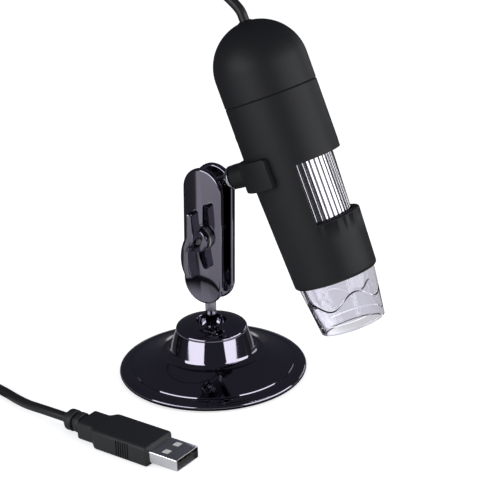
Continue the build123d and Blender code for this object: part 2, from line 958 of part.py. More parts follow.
# Lamps and the clear nose
def make_lamp_ring():
    board_radius = mouth_radius - shell_wall - shaft_clearance
    board_bottom = lamp_board_station + lamp_board_thickness
    with BuildPart() as board:
        with BuildSketch(scope_frame.offset(lamp_board_station)):
            Circle(board_radius)
            Circle(lamp_board_inner, mode=Mode.SUBTRACT)
        extrude(amount=lamp_board_thickness)
    write(board.part, "lamp_board")

    with BuildPart() as lamps:
        with BuildSketch(scope_frame.offset(board_bottom)):
            with PolarLocations(lamp_circle, lamp_count):
                Circle(lamp_flange_radius)
        extrude(amount=lamp_flange_height)
        with BuildSketch(scope_frame.offset(board_bottom)):
            with PolarLocations(lamp_circle, lamp_count):
                Circle(lamp_radius)
        extrude(amount=lamp_height)
        ends = lamps.faces().group_by(axis_of(scope_frame))[-1]
        fillet(ends.edges(), lamp_radius - edge_break)
    write(lamps.part, "lamps")


def make_clear_nose():
    spigot_radius = mouth_radius - shell_wall - nose_spigot_clearance
    spigot_start = lamp_board_station + lamp_board_thickness
    inner_top = nose_top_radius - nose_wall - nose_band_wall
    inner_tip = nose_tip_radius - nose_wall
    band_end = housing_end + nose_band_height
    band_share = nose_band_height / (nose_end - housing_end)
    wall_at_band = nose_top_radius - nose_wall + (nose_tip_radius - nose_top_radius) * band_share
    with BuildPart() as nose:
        with BuildSketch(profile_plane(scope_frame)):
            with BuildLine():
                Polyline(
                    (inner_top, spigot_start),
                    (spigot_radius, spigot_start),
                    (spigot_radius, housing_end),
                    (nose_top_radius, housing_end),
                    (nose_tip_radius, nose_end),
                    (inner_tip, nose_end),
                    (wall_at_band, band_end),
                    (wall_at_band - nose_band_wall, band_end),
                    close=True,
                )
            make_face()
        revolve(axis=axis_of(scope_frame))
        tip_face = nose.faces().sort_by(axis_of(scope_frame))[-1]
        fillet(tip_face.outer_wire().edges(), nose_tip_round)
    write(nose.part, "clear_nose")


# Gland in the rounded end, where the cable leaves
def make_gland():
    inside = scope_radius - shell_wall
    neck = gland_neck_radius - shaft_clearance
    neck_station = scope_radius - math.sqrt(inside**2 - neck**2) + shaft_clearance
    flange_station = scope_radius - math.sqrt(inside**2 - gland_flange_radius**2) + shaft_clearance
    gland_end = flange_station + gland_flange_height
    with BuildPart() as gland:
        with BuildSketch(profile_plane(scope_frame)):
            with BuildLine():
                Polyline(
                    (0, -gland_proud),
                    (gland_radius - edge_break, -gland_proud),
                    (gland_radius, edge_break - gland_proud),
                    (gland_radius, edge_break),
                    (neck, edge_break),
                    (neck, neck_station),
                    (gland_flange_radius, flange_station),
                    (gland_flange_radius, gland_end),
                    (cord_radius, gland_end + gland_flange_height),
                    (0, gland_end + gland_flange_height),
                    close=True,
                )
            make_face()
        revolve(axis=axis_of(scope_frame))
    write(gland.part, "cable_gland")


# Plug at the cable's far end
plug_frame = Plane(
    origin=(plug_x, plug_y, plug_axis_height),
    x_dir=(0, 0, 1),
    z_dir=(math.cos(math.radians(plug_yaw)), math.sin(math.radians(plug_yaw)), 0),
)


def make_plug():
    rear_start = relief_length
    rear_end = rear_start + plug_rear_length
    body_start = rear_end + plug_shoulder_length
    body_end = body_start + plug_body_length
    shell_start = body_end - usb_sunk
    with BuildPart() as overmould:
        with BuildSketch(plug_frame):
            Circle(relief_radius)
        extrude(amount=relief_length)
        for ring_start, ring_width, ring_radius in relief_rings:
            with BuildSketch(plug_frame.offset(ring_start)):
                Circle(ring_radius)
            extrude(amount=ring_width)
        with BuildSketch(plug_frame.offset(rear_start)):
            RectangleRounded(plug_rear_height, plug_rear_width, plug_corner)
        extrude(amount=plug_rear_length)
        with BuildSketch(plug_frame.offset(rear_end)):
            RectangleRounded(plug_rear_height, plug_rear_width, plug_corner)
        with BuildSketch(plug_frame.offset(body_start)):
            RectangleRounded(plug_body_height, plug_body_width, plug_corner)
        loft()
        with BuildSketch(plug_frame.offset(body_start)):
            RectangleRounded(plug_body_height, plug_body_width, plug_corner)
        extrude(amount=plug_body_length)
        ends = overmould.faces().filter_by(plug_frame).sort_by(axis_of(plug_frame))
        fillet(ends[-1].edges(), plug_front_round)
        for groove in range(grip_count):
            with BuildSketch(plug_frame.offset(body_start + grip_start + groove * grip_pitch)):
                with Locations((0, plug_body_width / 2), (0, -plug_body_width / 2)):
                    Rectangle(plug_body_height * grip_share, 2 * grip_depth)
            extrude(amount=grip_width, mode=Mode.SUBTRACT)
        with BuildSketch(plug_frame.offset(shell_start)):
            Rectangle(usb_height, usb_width)
        extrude(amount=usb_sunk + cut_overrun, mode=Mode.SUBTRACT)
    write(overmould.part, "plug_overmould")

    shell_end = shell_start + usb_length
    hole_start = shell_end - usb_hole_back - usb_hole / 2
    with BuildPart() as shell:
        with BuildSketch(plug_frame.offset(shell_start)):
            RectangleRounded(usb_height, usb_width, usb_corner)
            RectangleRounded(
                usb_height - 2 * usb_wall,
                usb_width - 2 * usb_wall,
                usb_corner - usb_wall + tongue_fit,
                mode=Mode.SUBTRACT,
            )
        extrude(amount=usb_length)
        hole_plane = Plane(
            origin=plug_frame.from_local_coords(Vector(usb_height, 0, hole_start)),
            x_dir=plug_frame.y_dir,
            z_dir=plug_frame.x_dir,
        )
        with BuildSketch(hole_plane):
            for side in (1, -1):
                with Locations((side * usb_hole_spacing / 2, -usb_hole / 2)):
                    Rectangle(usb_hole, usb_hole)
        extrude(amount=-2 * usb_height, mode=Mode.SUBTRACT)
    write(shell.part, "plug_shell")

    inner_height = usb_height - 2 * usb_wall
    inner_width = usb_width - 2 * (usb_wall + tongue_fit)
    tongue_top = inner_height / 2 - tongue_fit
    with BuildPart() as tongue:
        with BuildSketch(plug_frame.offset(shell_start)):
            with Locations((-tongue_top + tongue_thickness / 2, 0)):
                Rectangle(tongue_thickness, inner_width)
        extrude(amount=usb_length - tongue_setback)
    write(tongue.part, "plug_tongue")

    contact_base = -tongue_top + tongue_thickness
    with BuildPart() as contacts:
        with BuildSketch(plug_frame.offset(shell_end - tongue_setback - contact_length)):
            with Locations((contact_base + contact_height / 2, 0)):
                with GridLocations(0, contact_pitch, 1, contact_count):
                    Rectangle(contact_height, contact_width)
        extrude(amount=contact_length - contact_height)
    write(contacts.part, "plug_contacts")


# Cable: a coil between two free stretches
def corner_radii(points):
    """Radius of each corner of a route: as large as its two runs allow."""
    radii = []
    for before, here, after in zip(points, points[1:], points[2:]):
        run_in = Vector(*here) - Vector(*before)
        run_out = Vector(*after) - Vector(*here)
        half_turn = math.radians(run_in.get_angle(run_out)) / 2
        radii.append(cord_run_share * min(run_in.length, run_out.length) / math.tan(half_turn))
    return radii


def make_stretch(points, name):
    radii = corner_radii(points)
    with BuildPart() as stretch:
        with BuildLine() as route:
            FilletPolyline(*points, radius=radii)
        path = Wire(route.edges())
        with BuildSketch(Plane(origin=path @ 0, z_dir=path % 0)):
            Circle(cord_radius)
        sweep(path=path)
    length = path.length
    section = math.pi * cord_radius**2
    print(name, "length", round(length, 1), "least radius", round(min(radii), 1))
    print(name, "volume over section times length", round(stretch.part.volume / section / length, 4))
    write(stretch.part, name)
    return length


def coil_arcs():
    """Half turns of the coil as (middle, radius, height, side), in the order that the cable runs."""
    step = coil_pitch / 2
    low = cord_radius + coil_lift
    high = low + coil_pitch
    arcs = []
    for turn in range(coil_half_turns):
        radius = coil_inner_radius + step * (coil_half_turns - 1 - turn)
        left = turn % 2 == 0
        arcs.append((-step if left else 0, radius, low, left))
    for turn in range(coil_half_turns):
        radius = coil_inner_radius + step * turn
        left = turn % 2 == 0
        arcs.append((step if left else 0, radius, high, left))
    return arcs


def make_coil():
    step = coil_pitch / 2
    arcs = coil_arcs()
    low = arcs[0][2]
    high = arcs[-1][2]
    turn_radius = coil_inner_radius - step
    rise_reach = math.sqrt(turn_radius**2 + step**2)
    rise_start = (coil_x, coil_y + turn_radius, low)
    rise_middle = (coil_x + rise_reach, coil_y, (low + high) / 2)
    rise_end = (coil_x, coil_y - turn_radius, high)
    entry_y = coil_y + arcs[0][0] - arcs[0][1]
    exit_y = coil_y + arcs[-1][0] + arcs[-1][1]
    with BuildPart() as coil:
        with BuildLine() as winding:
            Line((coil_x + coil_lead, entry_y, low), (coil_x, entry_y, low))
            for middle, radius, height, left in arcs:
                start = -90 if left else 90
                CenterArc((coil_x, coil_y + middle, height), radius, start, -180)
            TangentArc(rise_start, rise_middle, tangent=(1, 0, 0))
            TangentArc(rise_end, rise_middle, tangent=(1, 0, 0))
            Line((coil_x, exit_y, high), (coil_x + coil_lead, exit_y, high))
        path = Wire(winding.edges())
        first = Vector(coil_x + coil_lead, entry_y, low)
        with BuildSketch(Plane(origin=first, z_dir=(-1, 0, 0))):
            Circle(cord_radius)
        sweep(path=path)
    section = math.pi * cord_radius**2
    print("cord_coil length", round(path.length, 1))
    print("cord_coil volume over section times length", round(coil.part.volume / section / path.length, 4))
    sample_count = round(path.length / cord_radius)
    spacing = path.length / sample_count
    samples = [path.position_at(n / sample_count) for n in range(sample_count + 1)]
    apart = math.ceil(math.pi * coil_inner_radius / spacing)
    gap = min(
        (one - other).length
        for n, one in enumerate(samples)
        for other in samples[n + apart:]
    )
    print("cord_coil least gap to itself", round(gap - 2 * cord_radius, 2))
    write(coil.part, "cord_coil")
    return path.length, Vector(coil_x + coil_lead, entry_y, low), Vector(coil_x + coil_lead, exit_y, high)


def make_tie():
    """A strap round the whole section of the coil, on its far side."""
    arcs = coil_arcs()
    high = arcs[-1][2]
    outer = arcs[0][1] + cord_radius + tie_gap
    closest = math.sqrt(coil_inner_radius**2 - (coil_pitch / 2 + tie_width / 2) ** 2)
    inner = closest - cord_radius - tie_gap
    bottom = coil_lift - tie_gap
    top = high + cord_radius + tie_gap
    width = outer - inner
    height = top - bottom
    tie_plane = Plane(
        origin=(coil_x - (outer + inner) / 2, coil_y, (top + bottom) / 2),
        x_dir=(1, 0, 0),
        z_dir=(0, 1, 0),
    )
    with BuildPart() as tie:
        with BuildSketch(tie_plane):
            RectangleRounded(width + 2 * tie_thickness, height + 2 * tie_thickness, tie_corner)
            RectangleRounded(width, height, tie_corner - tie_thickness, mode=Mode.SUBTRACT)
        extrude(amount=tie_width / 2, both=True)
    write(tie.part, "coil_tie")


def make_cable():
    coil_length, lower_join, upper_join = make_coil()
    relief_end = plug_frame.origin
    leaving = relief_end - plug_frame.z_dir * plug_run
    joining = lower_join + Vector(coil_run, 0, 0)
    lower = [tuple(relief_end), tuple(leaving), *lower_route, tuple(joining), tuple(lower_join)]
    lower_length = make_stretch(lower, "cord_lower")

    gland_end = scope_frame.from_local_coords(Vector(0, 0, -gland_proud))
    landing = []
    place = upper_join
    for corner in range(landing_turns):
        heading = math.radians(90 * corner / landing_turns)
        place = place + Vector(math.cos(heading), 0, math.sin(heading)) * landing_run
        landing.insert(0, tuple(place))
    rising = scope_frame.from_local_coords(Vector(0, 0, -gland_proud - exit_run))
    upper = [tuple(gland_end), tuple(rising), *upper_route, *landing, tuple(upper_join)]
    upper_length = make_stretch(upper, "cord_upper")
    print("cable length", round(lower_length + coil_length + upper_length, 1))
    make_tie()


make_base_casting()
make_base_pad()
make_lower_stud()
make_plate("clamp_front_plate", 1)
make_plate("clamp_rear_plate", -1)
make_clamp_bolt()
make_knob()
make_upper_stud()
make_scope_holder()
make_rear_cap()
make_main_housing()
make_snapshot_button()
make_focus_wheel()
make_guide_tube()
make_lens_barrel()
make_boards()
make_lamp_ring()
make_clear_nose()
make_gland()
make_plug()
make_cable()
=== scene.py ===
import cmath
from math import atan2, cos, pi, radians, sin, sqrt

import bmesh
import bpy
from mathutils import Matrix, Vector


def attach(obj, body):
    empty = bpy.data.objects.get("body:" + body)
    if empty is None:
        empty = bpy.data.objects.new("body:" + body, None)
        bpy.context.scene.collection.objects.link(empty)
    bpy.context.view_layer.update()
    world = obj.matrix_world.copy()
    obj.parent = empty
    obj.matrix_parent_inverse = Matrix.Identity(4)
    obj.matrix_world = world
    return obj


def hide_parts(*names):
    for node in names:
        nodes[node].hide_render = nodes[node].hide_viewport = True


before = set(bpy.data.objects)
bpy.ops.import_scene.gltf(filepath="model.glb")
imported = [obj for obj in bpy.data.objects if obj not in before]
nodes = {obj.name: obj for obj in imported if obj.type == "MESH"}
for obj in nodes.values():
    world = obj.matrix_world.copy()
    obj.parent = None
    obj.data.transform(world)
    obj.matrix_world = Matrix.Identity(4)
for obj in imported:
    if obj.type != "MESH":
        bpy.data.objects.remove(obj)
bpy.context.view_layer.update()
print("frame loaded:", len(nodes), "nodes")

mm = 0.001


def addObject(name, data):
    thing = bpy.data.objects.new(name, data)
    bpy.context.scene.collection.objects.link(thing)
    return thing


# places on the object

def makeAxes(origin, xDir, zDir):
    z = Vector(zDir).normalized()
    x = Vector(xDir).normalized()
    return {"origin": Vector(origin), "x": x, "y": z.cross(x), "z": z}


def place(axes, x, y, z):    # mm in the axes to metres in the row frame
    return (axes["origin"] + axes["x"] * x + axes["y"] * y + axes["z"] * z) * mm


def around(axes, radius, angle, z):
    return place(axes, radius * cos(angle), radius * sin(angle), z)


lean = {
    "arm": radians(2.3),      # plates lean towards +X
    "scope": radians(22.9),   # scope leans back over the arm
    "window": radians(-9.0),  # window turned to the far side
}
lowerBall = Vector((0, 0, 36.2))
upperBall = lowerBall + Vector((sin(lean["arm"]), 0, cos(lean["arm"]))) * 38.8
studDir = Vector((cos(lean["scope"]), 0, sin(lean["scope"])))
noseDir = Vector((sin(lean["scope"]), 0, -cos(lean["scope"])))
pole = upperBall + studDir * 41.0 - noseDir * 50.2
footAxes = makeAxes((0, 0, 0), (1, 0, 0), (0, 0, 1))
armAxes = makeAxes(lowerBall, (cos(lean["arm"]), 0, -sin(lean["arm"])), (0, -1, 0))
studAxes = makeAxes(upperBall, noseDir, studDir)
clipAxes = makeAxes(pole, studDir, noseDir)
scopeAxes = makeAxes(
    pole,
    clipAxes["x"] * cos(lean["window"]) + clipAxes["y"] * sin(lean["window"]),
    noseDir,
)
plugYaw = radians(0.8)
plugAxes = makeAxes((-16.0, -64.5, 3.9), (0, 0, 1), (cos(plugYaw), sin(plugYaw), 0))


# camera: the photograph's direction and field of view

cameraView = {"azimuth": 37.0, "elevation": 21.9, "roll": -1.9, "distance": 555.0,
              "aimRight": 11.75, "aimUp": 52.5, "focal": 1510.0, "picture": 480.0, "sensor": 36.0}


def makeCamera(view):
    az, el, ro = (radians(view[k]) for k in ("azimuth", "elevation", "roll"))
    right = Vector((cos(az), sin(az), 0))
    away = Vector((-sin(az), cos(az), 0))
    looking = away * cos(el) - Vector((0, 0, sin(el)))
    up = away * sin(el) + Vector((0, 0, cos(el)))
    across = right * cos(ro) + up * sin(ro)
    upright = up * cos(ro) - right * sin(ro)
    aim = right * view["aimRight"] + Vector((0, 0, view["aimUp"]))
    spot = (aim - looking * view["distance"]) * mm
    data = bpy.data.cameras.new("photoCamera")
    data.sensor_width = view["sensor"]
    data.lens = view["sensor"] * view["focal"] / view["picture"]
    data.clip_start = 0.01
    data.clip_end = 20
    camera = addObject("photoCamera", data)
    turn = Matrix((across, upright, -looking)).transposed().to_4x4()
    camera.matrix_world = Matrix.Translation(spot) @ turn
    bpy.context.scene.camera = camera
    return right, away


cameraRight, cameraAway = makeCamera(cameraView)


# node helpers: inputs go to the sockets, where a node stands for its first output; settings go to the node

def feed(tree, node, inputs):
    for key, value in inputs.items():
        if isinstance(value, bpy.types.Node):
            value = value.outputs[0]
        if isinstance(value, bpy.types.NodeSocket):
            tree.links.new(value, node.inputs[key])
        else:
            node.inputs[key].default_value = value


def add(tree, kind, inputs=None, **settings):
    node = tree.nodes.new(kind)
    for key, value in settings.items():
        setattr(node, key, value)
    feed(tree, node, inputs or {})
    return node


def calc(tree, operation, *values, **settings):
    return add(tree, "ShaderNodeMath", dict(enumerate(values)), operation=operation, **settings)


def ramp(tree, value, low, high):    # a soft step from 0 at low to 1 at high
    return add(tree, "ShaderNodeMapRange", {"Value": value, "From Min": low, "From Max": high},
               interpolation_type="SMOOTHSTEP")


# shader groups shared by the finishes

def newGroup(name, inputs, outputs):
    group = bpy.data.node_groups.new(name, "ShaderNodeTree")
    for label, value in inputs.items():
        kind = "NodeSocket" + ("Color" if isinstance(value, tuple) else "Float")
        group.interface.new_socket(label, in_out="INPUT", socket_type=kind).default_value = value
    for label, kind in outputs.items():
        group.interface.new_socket(label, in_out="OUTPUT", socket_type="NodeSocket" + kind)
    return group


def grainGroup():    # moulded or cast skin: slow mottling of colour and gloss, with a fine height
    group = newGroup(
        "skinGrain",
        {"Color": (0.5, 0.5, 0.5, 1), "Mottle": 0.1, "Patch Size": 60.0, "Grain Size": 3000.0,
         "Roughness": 0.5, "Roughness Shift": 0.05},
        {"Color": "Color", "Roughness": "Float", "Height": "Float"},
    )
    start = add(group, "NodeGroupInput").outputs
    spot = add(group, "ShaderNodeTexCoord").outputs["Object"]
    patch = add(group, "ShaderNodeTexNoise", {"Vector": spot, "Scale": start["Patch Size"], "Detail": 3})
    grain = add(group, "ShaderNodeTexNoise", {"Vector": spot, "Scale": start["Grain Size"], "Detail": 2})
    swing = calc(group, "SUBTRACT", patch, 0.5)
    amount = calc(group, "MULTIPLY_ADD", swing, start["Mottle"], 1.0)
    tint = add(group, "ShaderNodeVectorMath", {0: start["Color"], "Scale": amount}, operation="SCALE")
    rough = calc(group, "MULTIPLY_ADD", swing, start["Roughness Shift"], start["Roughness"])
    add(group, "NodeGroupOutput", {"Color": tint, "Roughness": rough, "Height": grain})
    return group


def wearGroup():    # edges rubbed a little brighter, from the shape's own curvature
    group = newGroup(
        "edgeRub",
        {"Color": (0.5, 0.5, 0.5, 1), "Rubbed": (0.8, 0.8, 0.8, 1), "Amount": 0.3, "Breakup Size": 400.0},
        {"Color": "Color"},
    )
    start = add(group, "NodeGroupInput").outputs
    curve = add(group, "ShaderNodeNewGeometry").outputs["Pointiness"]
    edge = add(group, "ShaderNodeMapRange", {"Value": curve, "From Min": 0.52, "From Max": 0.62})
    spot = add(group, "ShaderNodeTexCoord").outputs["Object"]
    breakup = add(group, "ShaderNodeTexNoise", {"Vector": spot, "Scale": start["Breakup Size"]})
    broken = calc(group, "MULTIPLY", edge, breakup)
    amount = calc(group, "MULTIPLY", broken, start["Amount"], use_clamp=True)
    mix = add(group, "ShaderNodeMix", {"Factor": amount, "A": start["Color"], "B": start["Rubbed"]},
              data_type="RGBA")
    add(group, "NodeGroupOutput", {"Color": mix.outputs["Result"]})
    return group


skinGrain = grainGroup()
edgeRub = wearGroup()


def makeFinish(name, look):
    material = bpy.data.materials.new(name)
    material.use_nodes = True
    tree = material.node_tree
    skin = tree.nodes["Principled BSDF"]
    roughness, drift = look["roughness"]
    depth, size, strength = (*look.get("grain", (0, 3000)), 0.6)[:3]
    grain = add(tree, "ShaderNodeGroup", {
        "Color": (*look["color"], 1), "Mottle": look.get("mottle", 0.1),
        "Patch Size": look.get("patchSize", 60), "Grain Size": size,
        "Roughness": roughness, "Roughness Shift": drift,
    }, node_tree=skinGrain).outputs
    color = grain["Color"]
    if "rub" in look:
        amount, rubbed = look["rub"]
        color = add(tree, "ShaderNodeGroup", {"Color": color, "Rubbed": (*rubbed, 1), "Amount": amount},
                    node_tree=edgeRub)
    feed(tree, skin, {
        "Base Color": color, "Roughness": grain["Roughness"], "Metallic": look.get("metallic", 0.0),
        "IOR": look.get("ior", 1.45), "Specular IOR Level": look.get("specular", 0.5),
        "Coat Weight": look.get("coat", 0.0), "Coat Roughness": 0.05,
        "Transmission Weight": look.get("transmission", 0.0),
    })
    if depth:
        bump = add(tree, "ShaderNodeBump", {
            "Distance": depth * mm, "Strength": strength, "Height": grain["Height"]})
        feed(tree, skin, {"Normal": bump})
    return material


# roughness: its value and drift; grain: depth in mm, size, and strength if other than 0.6;
# rub: amount and colour of rubbed edges
finishes = {
    "blackNickel": {"color": (0.245, 0.23, 0.28), "metallic": 1.0, "roughness": (0.055, 0.03),
                    "mottle": 0.06, "patchSize": 45, "grain": (0.002, 900, 0.15),
                    "rub": (0.4, (0.4, 0.38, 0.42))},
    "studMetal": {"color": (0.36, 0.355, 0.4), "metallic": 1.0, "roughness": (0.13, 0.06),
                  "grain": (0.002, 1500)},
    "brightMetal": {"color": (0.66, 0.66, 0.68), "metallic": 1.0, "roughness": (0.16, 0.06),
                    "mottle": 0.06, "grain": (0.002, 2000)},
    "zincMetal": {"color": (0.52, 0.52, 0.51), "metallic": 1.0, "roughness": (0.3, 0.12),
                  "mottle": 0.18, "grain": (0.004, 1800)},
    "knobGloss": {"color": (0.225, 0.215, 0.26), "metallic": 1.0, "roughness": (0.1, 0.05),
                  "grain": (0.004, 700, 0.25)},
    "softBlack": {"color": (0.0115, 0.012, 0.014), "roughness": (0.5, 0.08), "mottle": 0.15,
                  "patchSize": 25, "grain": (0.012, 5200, 0.5), "specular": 0.32},
    "clipBlack": {"color": (0.0095, 0.01, 0.0115), "roughness": (0.5, 0.08), "mottle": 0.15,
                  "patchSize": 40, "grain": (0.012, 4200), "specular": 0.35},
    "keyGrey": {"color": (0.05, 0.05, 0.055), "roughness": (0.45, 0.08), "mottle": 0.15,
                "grain": (0.01, 4000)},
    "wheelSilver": {"color": (0.45, 0.44, 0.47), "metallic": 1.0, "roughness": (0.13, 0.08),
                    "mottle": 0.08, "patchSize": 200, "grain": (0.003, 2600),
                    "rub": (0.2, (0.95, 0.95, 0.96))},
    # painted shade: the wheel's core, seen between the ribs, is darker than the ribs
    "wheelGrooveShade": {"color": (0.24, 0.235, 0.26), "metallic": 1.0, "roughness": (0.5, 0.1),
                    "patchSize": 200, "grain": (0.003, 2600)},
    "innerBlack": {"color": (0.018, 0.018, 0.018), "roughness": (0.7, 0.05), "mottle": 0.15,
                   "grain": (0.01, 3500)},
    "boardGreen": {"color": (0.02, 0.13, 0.045), "roughness": (0.35, 0.1), "mottle": 0.3,
                   "patchSize": 350, "grain": (0.01, 2500), "coat": 0.4},
    "chipBlack": {"color": (0.02, 0.02, 0.022), "roughness": (0.5, 0.05), "mottle": 0.2,
                  "grain": (0.006, 5000)},
    "cableSatin": {"color": (0.014, 0.014, 0.016), "roughness": (0.36, 0.1), "mottle": 0.2,
                   "patchSize": 120, "grain": (0.006, 2200)},
    "plugBlack": {"color": (0.018, 0.0185, 0.021), "roughness": (0.5, 0.12), "mottle": 0.2,
                  "patchSize": 90, "grain": (0.02, 4500)},
    "plugNickel": {"color": (0.97, 0.97, 0.985), "metallic": 1.0, "roughness": (0.17, 0.12),
                   "patchSize": 160, "grain": (0.004, 1600), "rub": (0.5, (0.9, 0.9, 0.92))},
    # painted light: pale pads behind the plug shell's windows
    "paintedLightPad": {"color": (0.72, 0.72, 0.71), "roughness": (0.5, 0.05), "mottle": 0.08,
                "grain": (0.006, 2500)},
    "tongueBlack": {"color": (0.015, 0.015, 0.017), "roughness": (0.45, 0.05), "mottle": 0.15,
                    "grain": (0.006, 3000)},
    "contactGold": {"color": (0.75, 0.53, 0.22), "metallic": 1.0, "roughness": (0.22, 0.05)},
    "footRubber": {"color": (0.03, 0.03, 0.03), "roughness": (0.85, 0.05), "mottle": 0.25,
                   "grain": (0.04, 2500)},
    "noseClear": {"color": (0.9, 0.892, 0.955), "roughness": (0.035, 0.03), "mottle": 0.01,
                  "grain": (0.004, 260, 0.2), "transmission": 1.0, "ior": 1.49},
    "lensClear": {"color": (0.93, 0.96, 0.99), "roughness": (0.02, 0.01), "mottle": 0.02,
                  "transmission": 1.0, "ior": 1.52},
    "filterClear": {"color": (0.55, 0.86, 0.84), "roughness": (0.03, 0.02), "mottle": 0.02,
                    "transmission": 1.0, "ior": 1.52},
    "lampClear": {"color": (0.93, 0.93, 0.86), "roughness": (0.1, 0.05), "mottle": 0.03,
                  "transmission": 0.85, "ior": 1.5},
}
made = {name: makeFinish(name, look) for name, look in finishes.items()}
print("finishes:", len(made))


# mesh helpers

def arcPoints(first, middle, last, steps):    # the arc through three points, without its first
    a, b, c = (complex(*spot) for spot in (first, middle, last))
    w = (c - a) / (b - a)
    center = a + (b - a) * (w - abs(w)**2) / (2j * w.imag)
    start, via, end = (cmath.phase(spot - center) for spot in (a, b, c))
    turn = (end - start) % (2 * pi)
    if (via - start) % (2 * pi) > turn:
        turn -= 2 * pi
    spots = (center + (a - center) * cmath.rect(1, turn * n / steps) for n in range(1, steps + 1))
    return [(spot.real, spot.imag) for spot in spots]


def quarterRound(radius, shares):    # inset and depth of a rounded edge, from its face to its side
    return [(radius * (1 - sin(a)), radius * (1 - cos(a)))
            for a in (pi / 2 * share for share in shares)]


def evenly(steps):    # shares from 0 to 1
    return [n / steps for n in range(steps + 1)]


def anglesOf(turns):    # a full circle, its end left out
    return [2 * pi * k / turns for k in range(turns)]


def roundCorners(points, cuts, steps=5):    # corner n is cut back by cuts[n] and rounded
    out = []
    for n, point in enumerate(points):
        cut = cuts.get(n, 0)
        if not cut:
            out.append(point)
            continue
        here = Vector(point)
        before = (Vector(points[n - 1]) - here).normalized() * cut
        after = (Vector(points[(n + 1) % len(points)]) - here).normalized() * cut
        for k in range(steps + 1):
            t = k / steps
            spot = here + before * (1 - t) ** 2 + after * t**2
            out.append((spot.x, spot.y))
    return out


def finishPiece(name, bm, material, sharpAngle):    # soft faces, with the real edges kept sharp
    bmesh.ops.remove_doubles(bm, verts=bm.verts, dist=0.000002)
    bmesh.ops.recalc_face_normals(bm, faces=bm.faces)
    for face in bm.faces:
        face.smooth = True
    limit = radians(sharpAngle)
    for edge in bm.edges:
        edge.smooth = not (len(edge.link_faces) == 2 and edge.calc_face_angle(0) > limit)
    mesh = bpy.data.meshes.new(name)
    bm.to_mesh(mesh)
    bm.free()
    mesh.materials.append(made[material])
    return addObject(name, mesh)


def layRing(bm, axes, spots, height):
    return [bm.verts.new(place(axes, x, y, height)) for x, y in spots]


def skinRings(bm, rings, closed=False):    # quads between rings, and end faces when not closed
    for one, other in zip(rings, rings[1:] + rings[:closed]):
        for k in range(len(one)):
            n = (k + 1) % len(one)
            bm.faces.new((one[k], one[n], other[n], other[k]))
    if not closed:
        bm.faces.new(rings[0][::-1])
        bm.faces.new(rings[-1])


def lathe(bm, axes, outline, turns, closed=True):    # (radius, height) turned about the axes
    rings = []
    for radius, height in outline:
        if radius < 1e-6:
            rings.append([bm.verts.new(place(axes, 0, 0, height))])
        else:
            rings.append([bm.verts.new(around(axes, radius, a, height)) for a in anglesOf(turns)])
    pairs = list(zip(rings, rings[1:]))
    if closed:
        pairs.append((rings[-1], rings[0]))
    for one, other in pairs:
        for k in range(turns):
            a, b = one[k % len(one)], one[(k + 1) % len(one)]
            c, d = other[(k + 1) % len(other)], other[k % len(other)]
            bm.faces.new(list(dict.fromkeys((a, b, c, d))))


def turned(name, axes, outline, turns, material, sharpAngle, closed=True):
    bm = bmesh.new()
    lathe(bm, axes, outline, turns, closed)
    return finishPiece(name, bm, material, sharpAngle)


def applied(piece):    # modifiers turned into plain mesh
    bpy.context.view_layer.update()
    shown = piece.evaluated_get(bpy.context.evaluated_depsgraph_get())
    mesh = bpy.data.meshes.new_from_object(shown)
    piece.modifiers.clear()
    piece.data = mesh
    return piece


def stands(piece, body, slot, *replaced):
    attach(piece, body)
    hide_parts(*replaced)
    return piece


# foot: one turned casting

foot = {"radius": 35.4, "rimLow": 0.5, "rimHigh": 2.8, "rimRound": 1.1, "bandRadius": 30.8,
        "bandHeight": 3.45, "bandSwell": 0.3, "ridge": (30.65, 3.8), "hubFoot": (19.3, 8.3), "dish": 0.5,
        "wallFoot": (15.9, 10.3), "flareSag": 0.6, "shoulder": (13.4, 17.3), "crown": (12.2, 18.9),
        "shoulderSwell": 0.35, "cupRim": (5.6, 20.9), "dome": 0.4, "rimSoft": 0.35, "bowl": (4.85, 17.46),
        "bowlEnd": 2.5, "cupFloor": 15.4, "bore": 1.51, "hubUnder": 12.0, "wall": 2.6, "cavity": 9.6,
        "cavityFoot": 31.0, "padEdge": 32.9, "padTop": 1.2, "edge": 0.3, "turns": 220}


def makeFoot(s):
    def bulge(one, other, out, up, steps=10):    # an arc that leaves the straight line by out and up
        middle = ((one[0] + other[0]) / 2 + out, (one[1] + other[1]) / 2 + up)
        return arcPoints(one, middle, other, steps)

    low = (s["radius"] - s["rimRound"], s["rimLow"])
    rim = (s["radius"] - s["rimRound"], s["rimHigh"])
    band = (s["bandRadius"], s["bandHeight"])
    outline = [(s["bore"], s["hubUnder"]), (s["cavity"], s["hubUnder"]),
               (s["cavity"], s["hubFoot"][1] - s["wall"]), (s["cavityFoot"], s["padTop"] + s["edge"]),
               (s["cavityFoot"], s["padTop"]), (s["padEdge"], s["padTop"]), (s["padEdge"], s["rimLow"]), low]
    outline += bulge(low, rim, s["rimRound"], 0, 14)
    outline += bulge(rim, band, 0, s["bandSwell"])
    outline.append(s["ridge"])
    outline += bulge(s["ridge"], s["hubFoot"], 0, -s["dish"], 16)
    outline += bulge(s["hubFoot"], s["wallFoot"], -s["flareSag"], -s["flareSag"])
    outline.append(s["shoulder"])
    outline += bulge(s["shoulder"], s["crown"], s["shoulderSwell"], s["shoulderSwell"])
    soft = s["rimSoft"]
    lip = (s["cupRim"][0] + soft, s["cupRim"][1] - soft * 0.1)
    outline += bulge(s["crown"], lip, 0, s["dome"])
    outline += arcPoints(lip, (s["cupRim"][0] + soft * 0.2, s["cupRim"][1] - soft * 0.15),
                         (s["cupRim"][0] - soft * 0.1, s["cupRim"][1] - soft), 4)
    outline += arcPoints(outline[-1], s["bowl"], (s["bowlEnd"], s["cupFloor"]), 14)[1:]
    outline.append((s["bore"], s["cupFloor"]))
    return turned("footCasting", footAxes, outline, s["turns"], "blackNickel", 28)


stands(makeFoot(foot), "stand", "cast_metal", "base_casting")
print("foot done")


# studs and collar

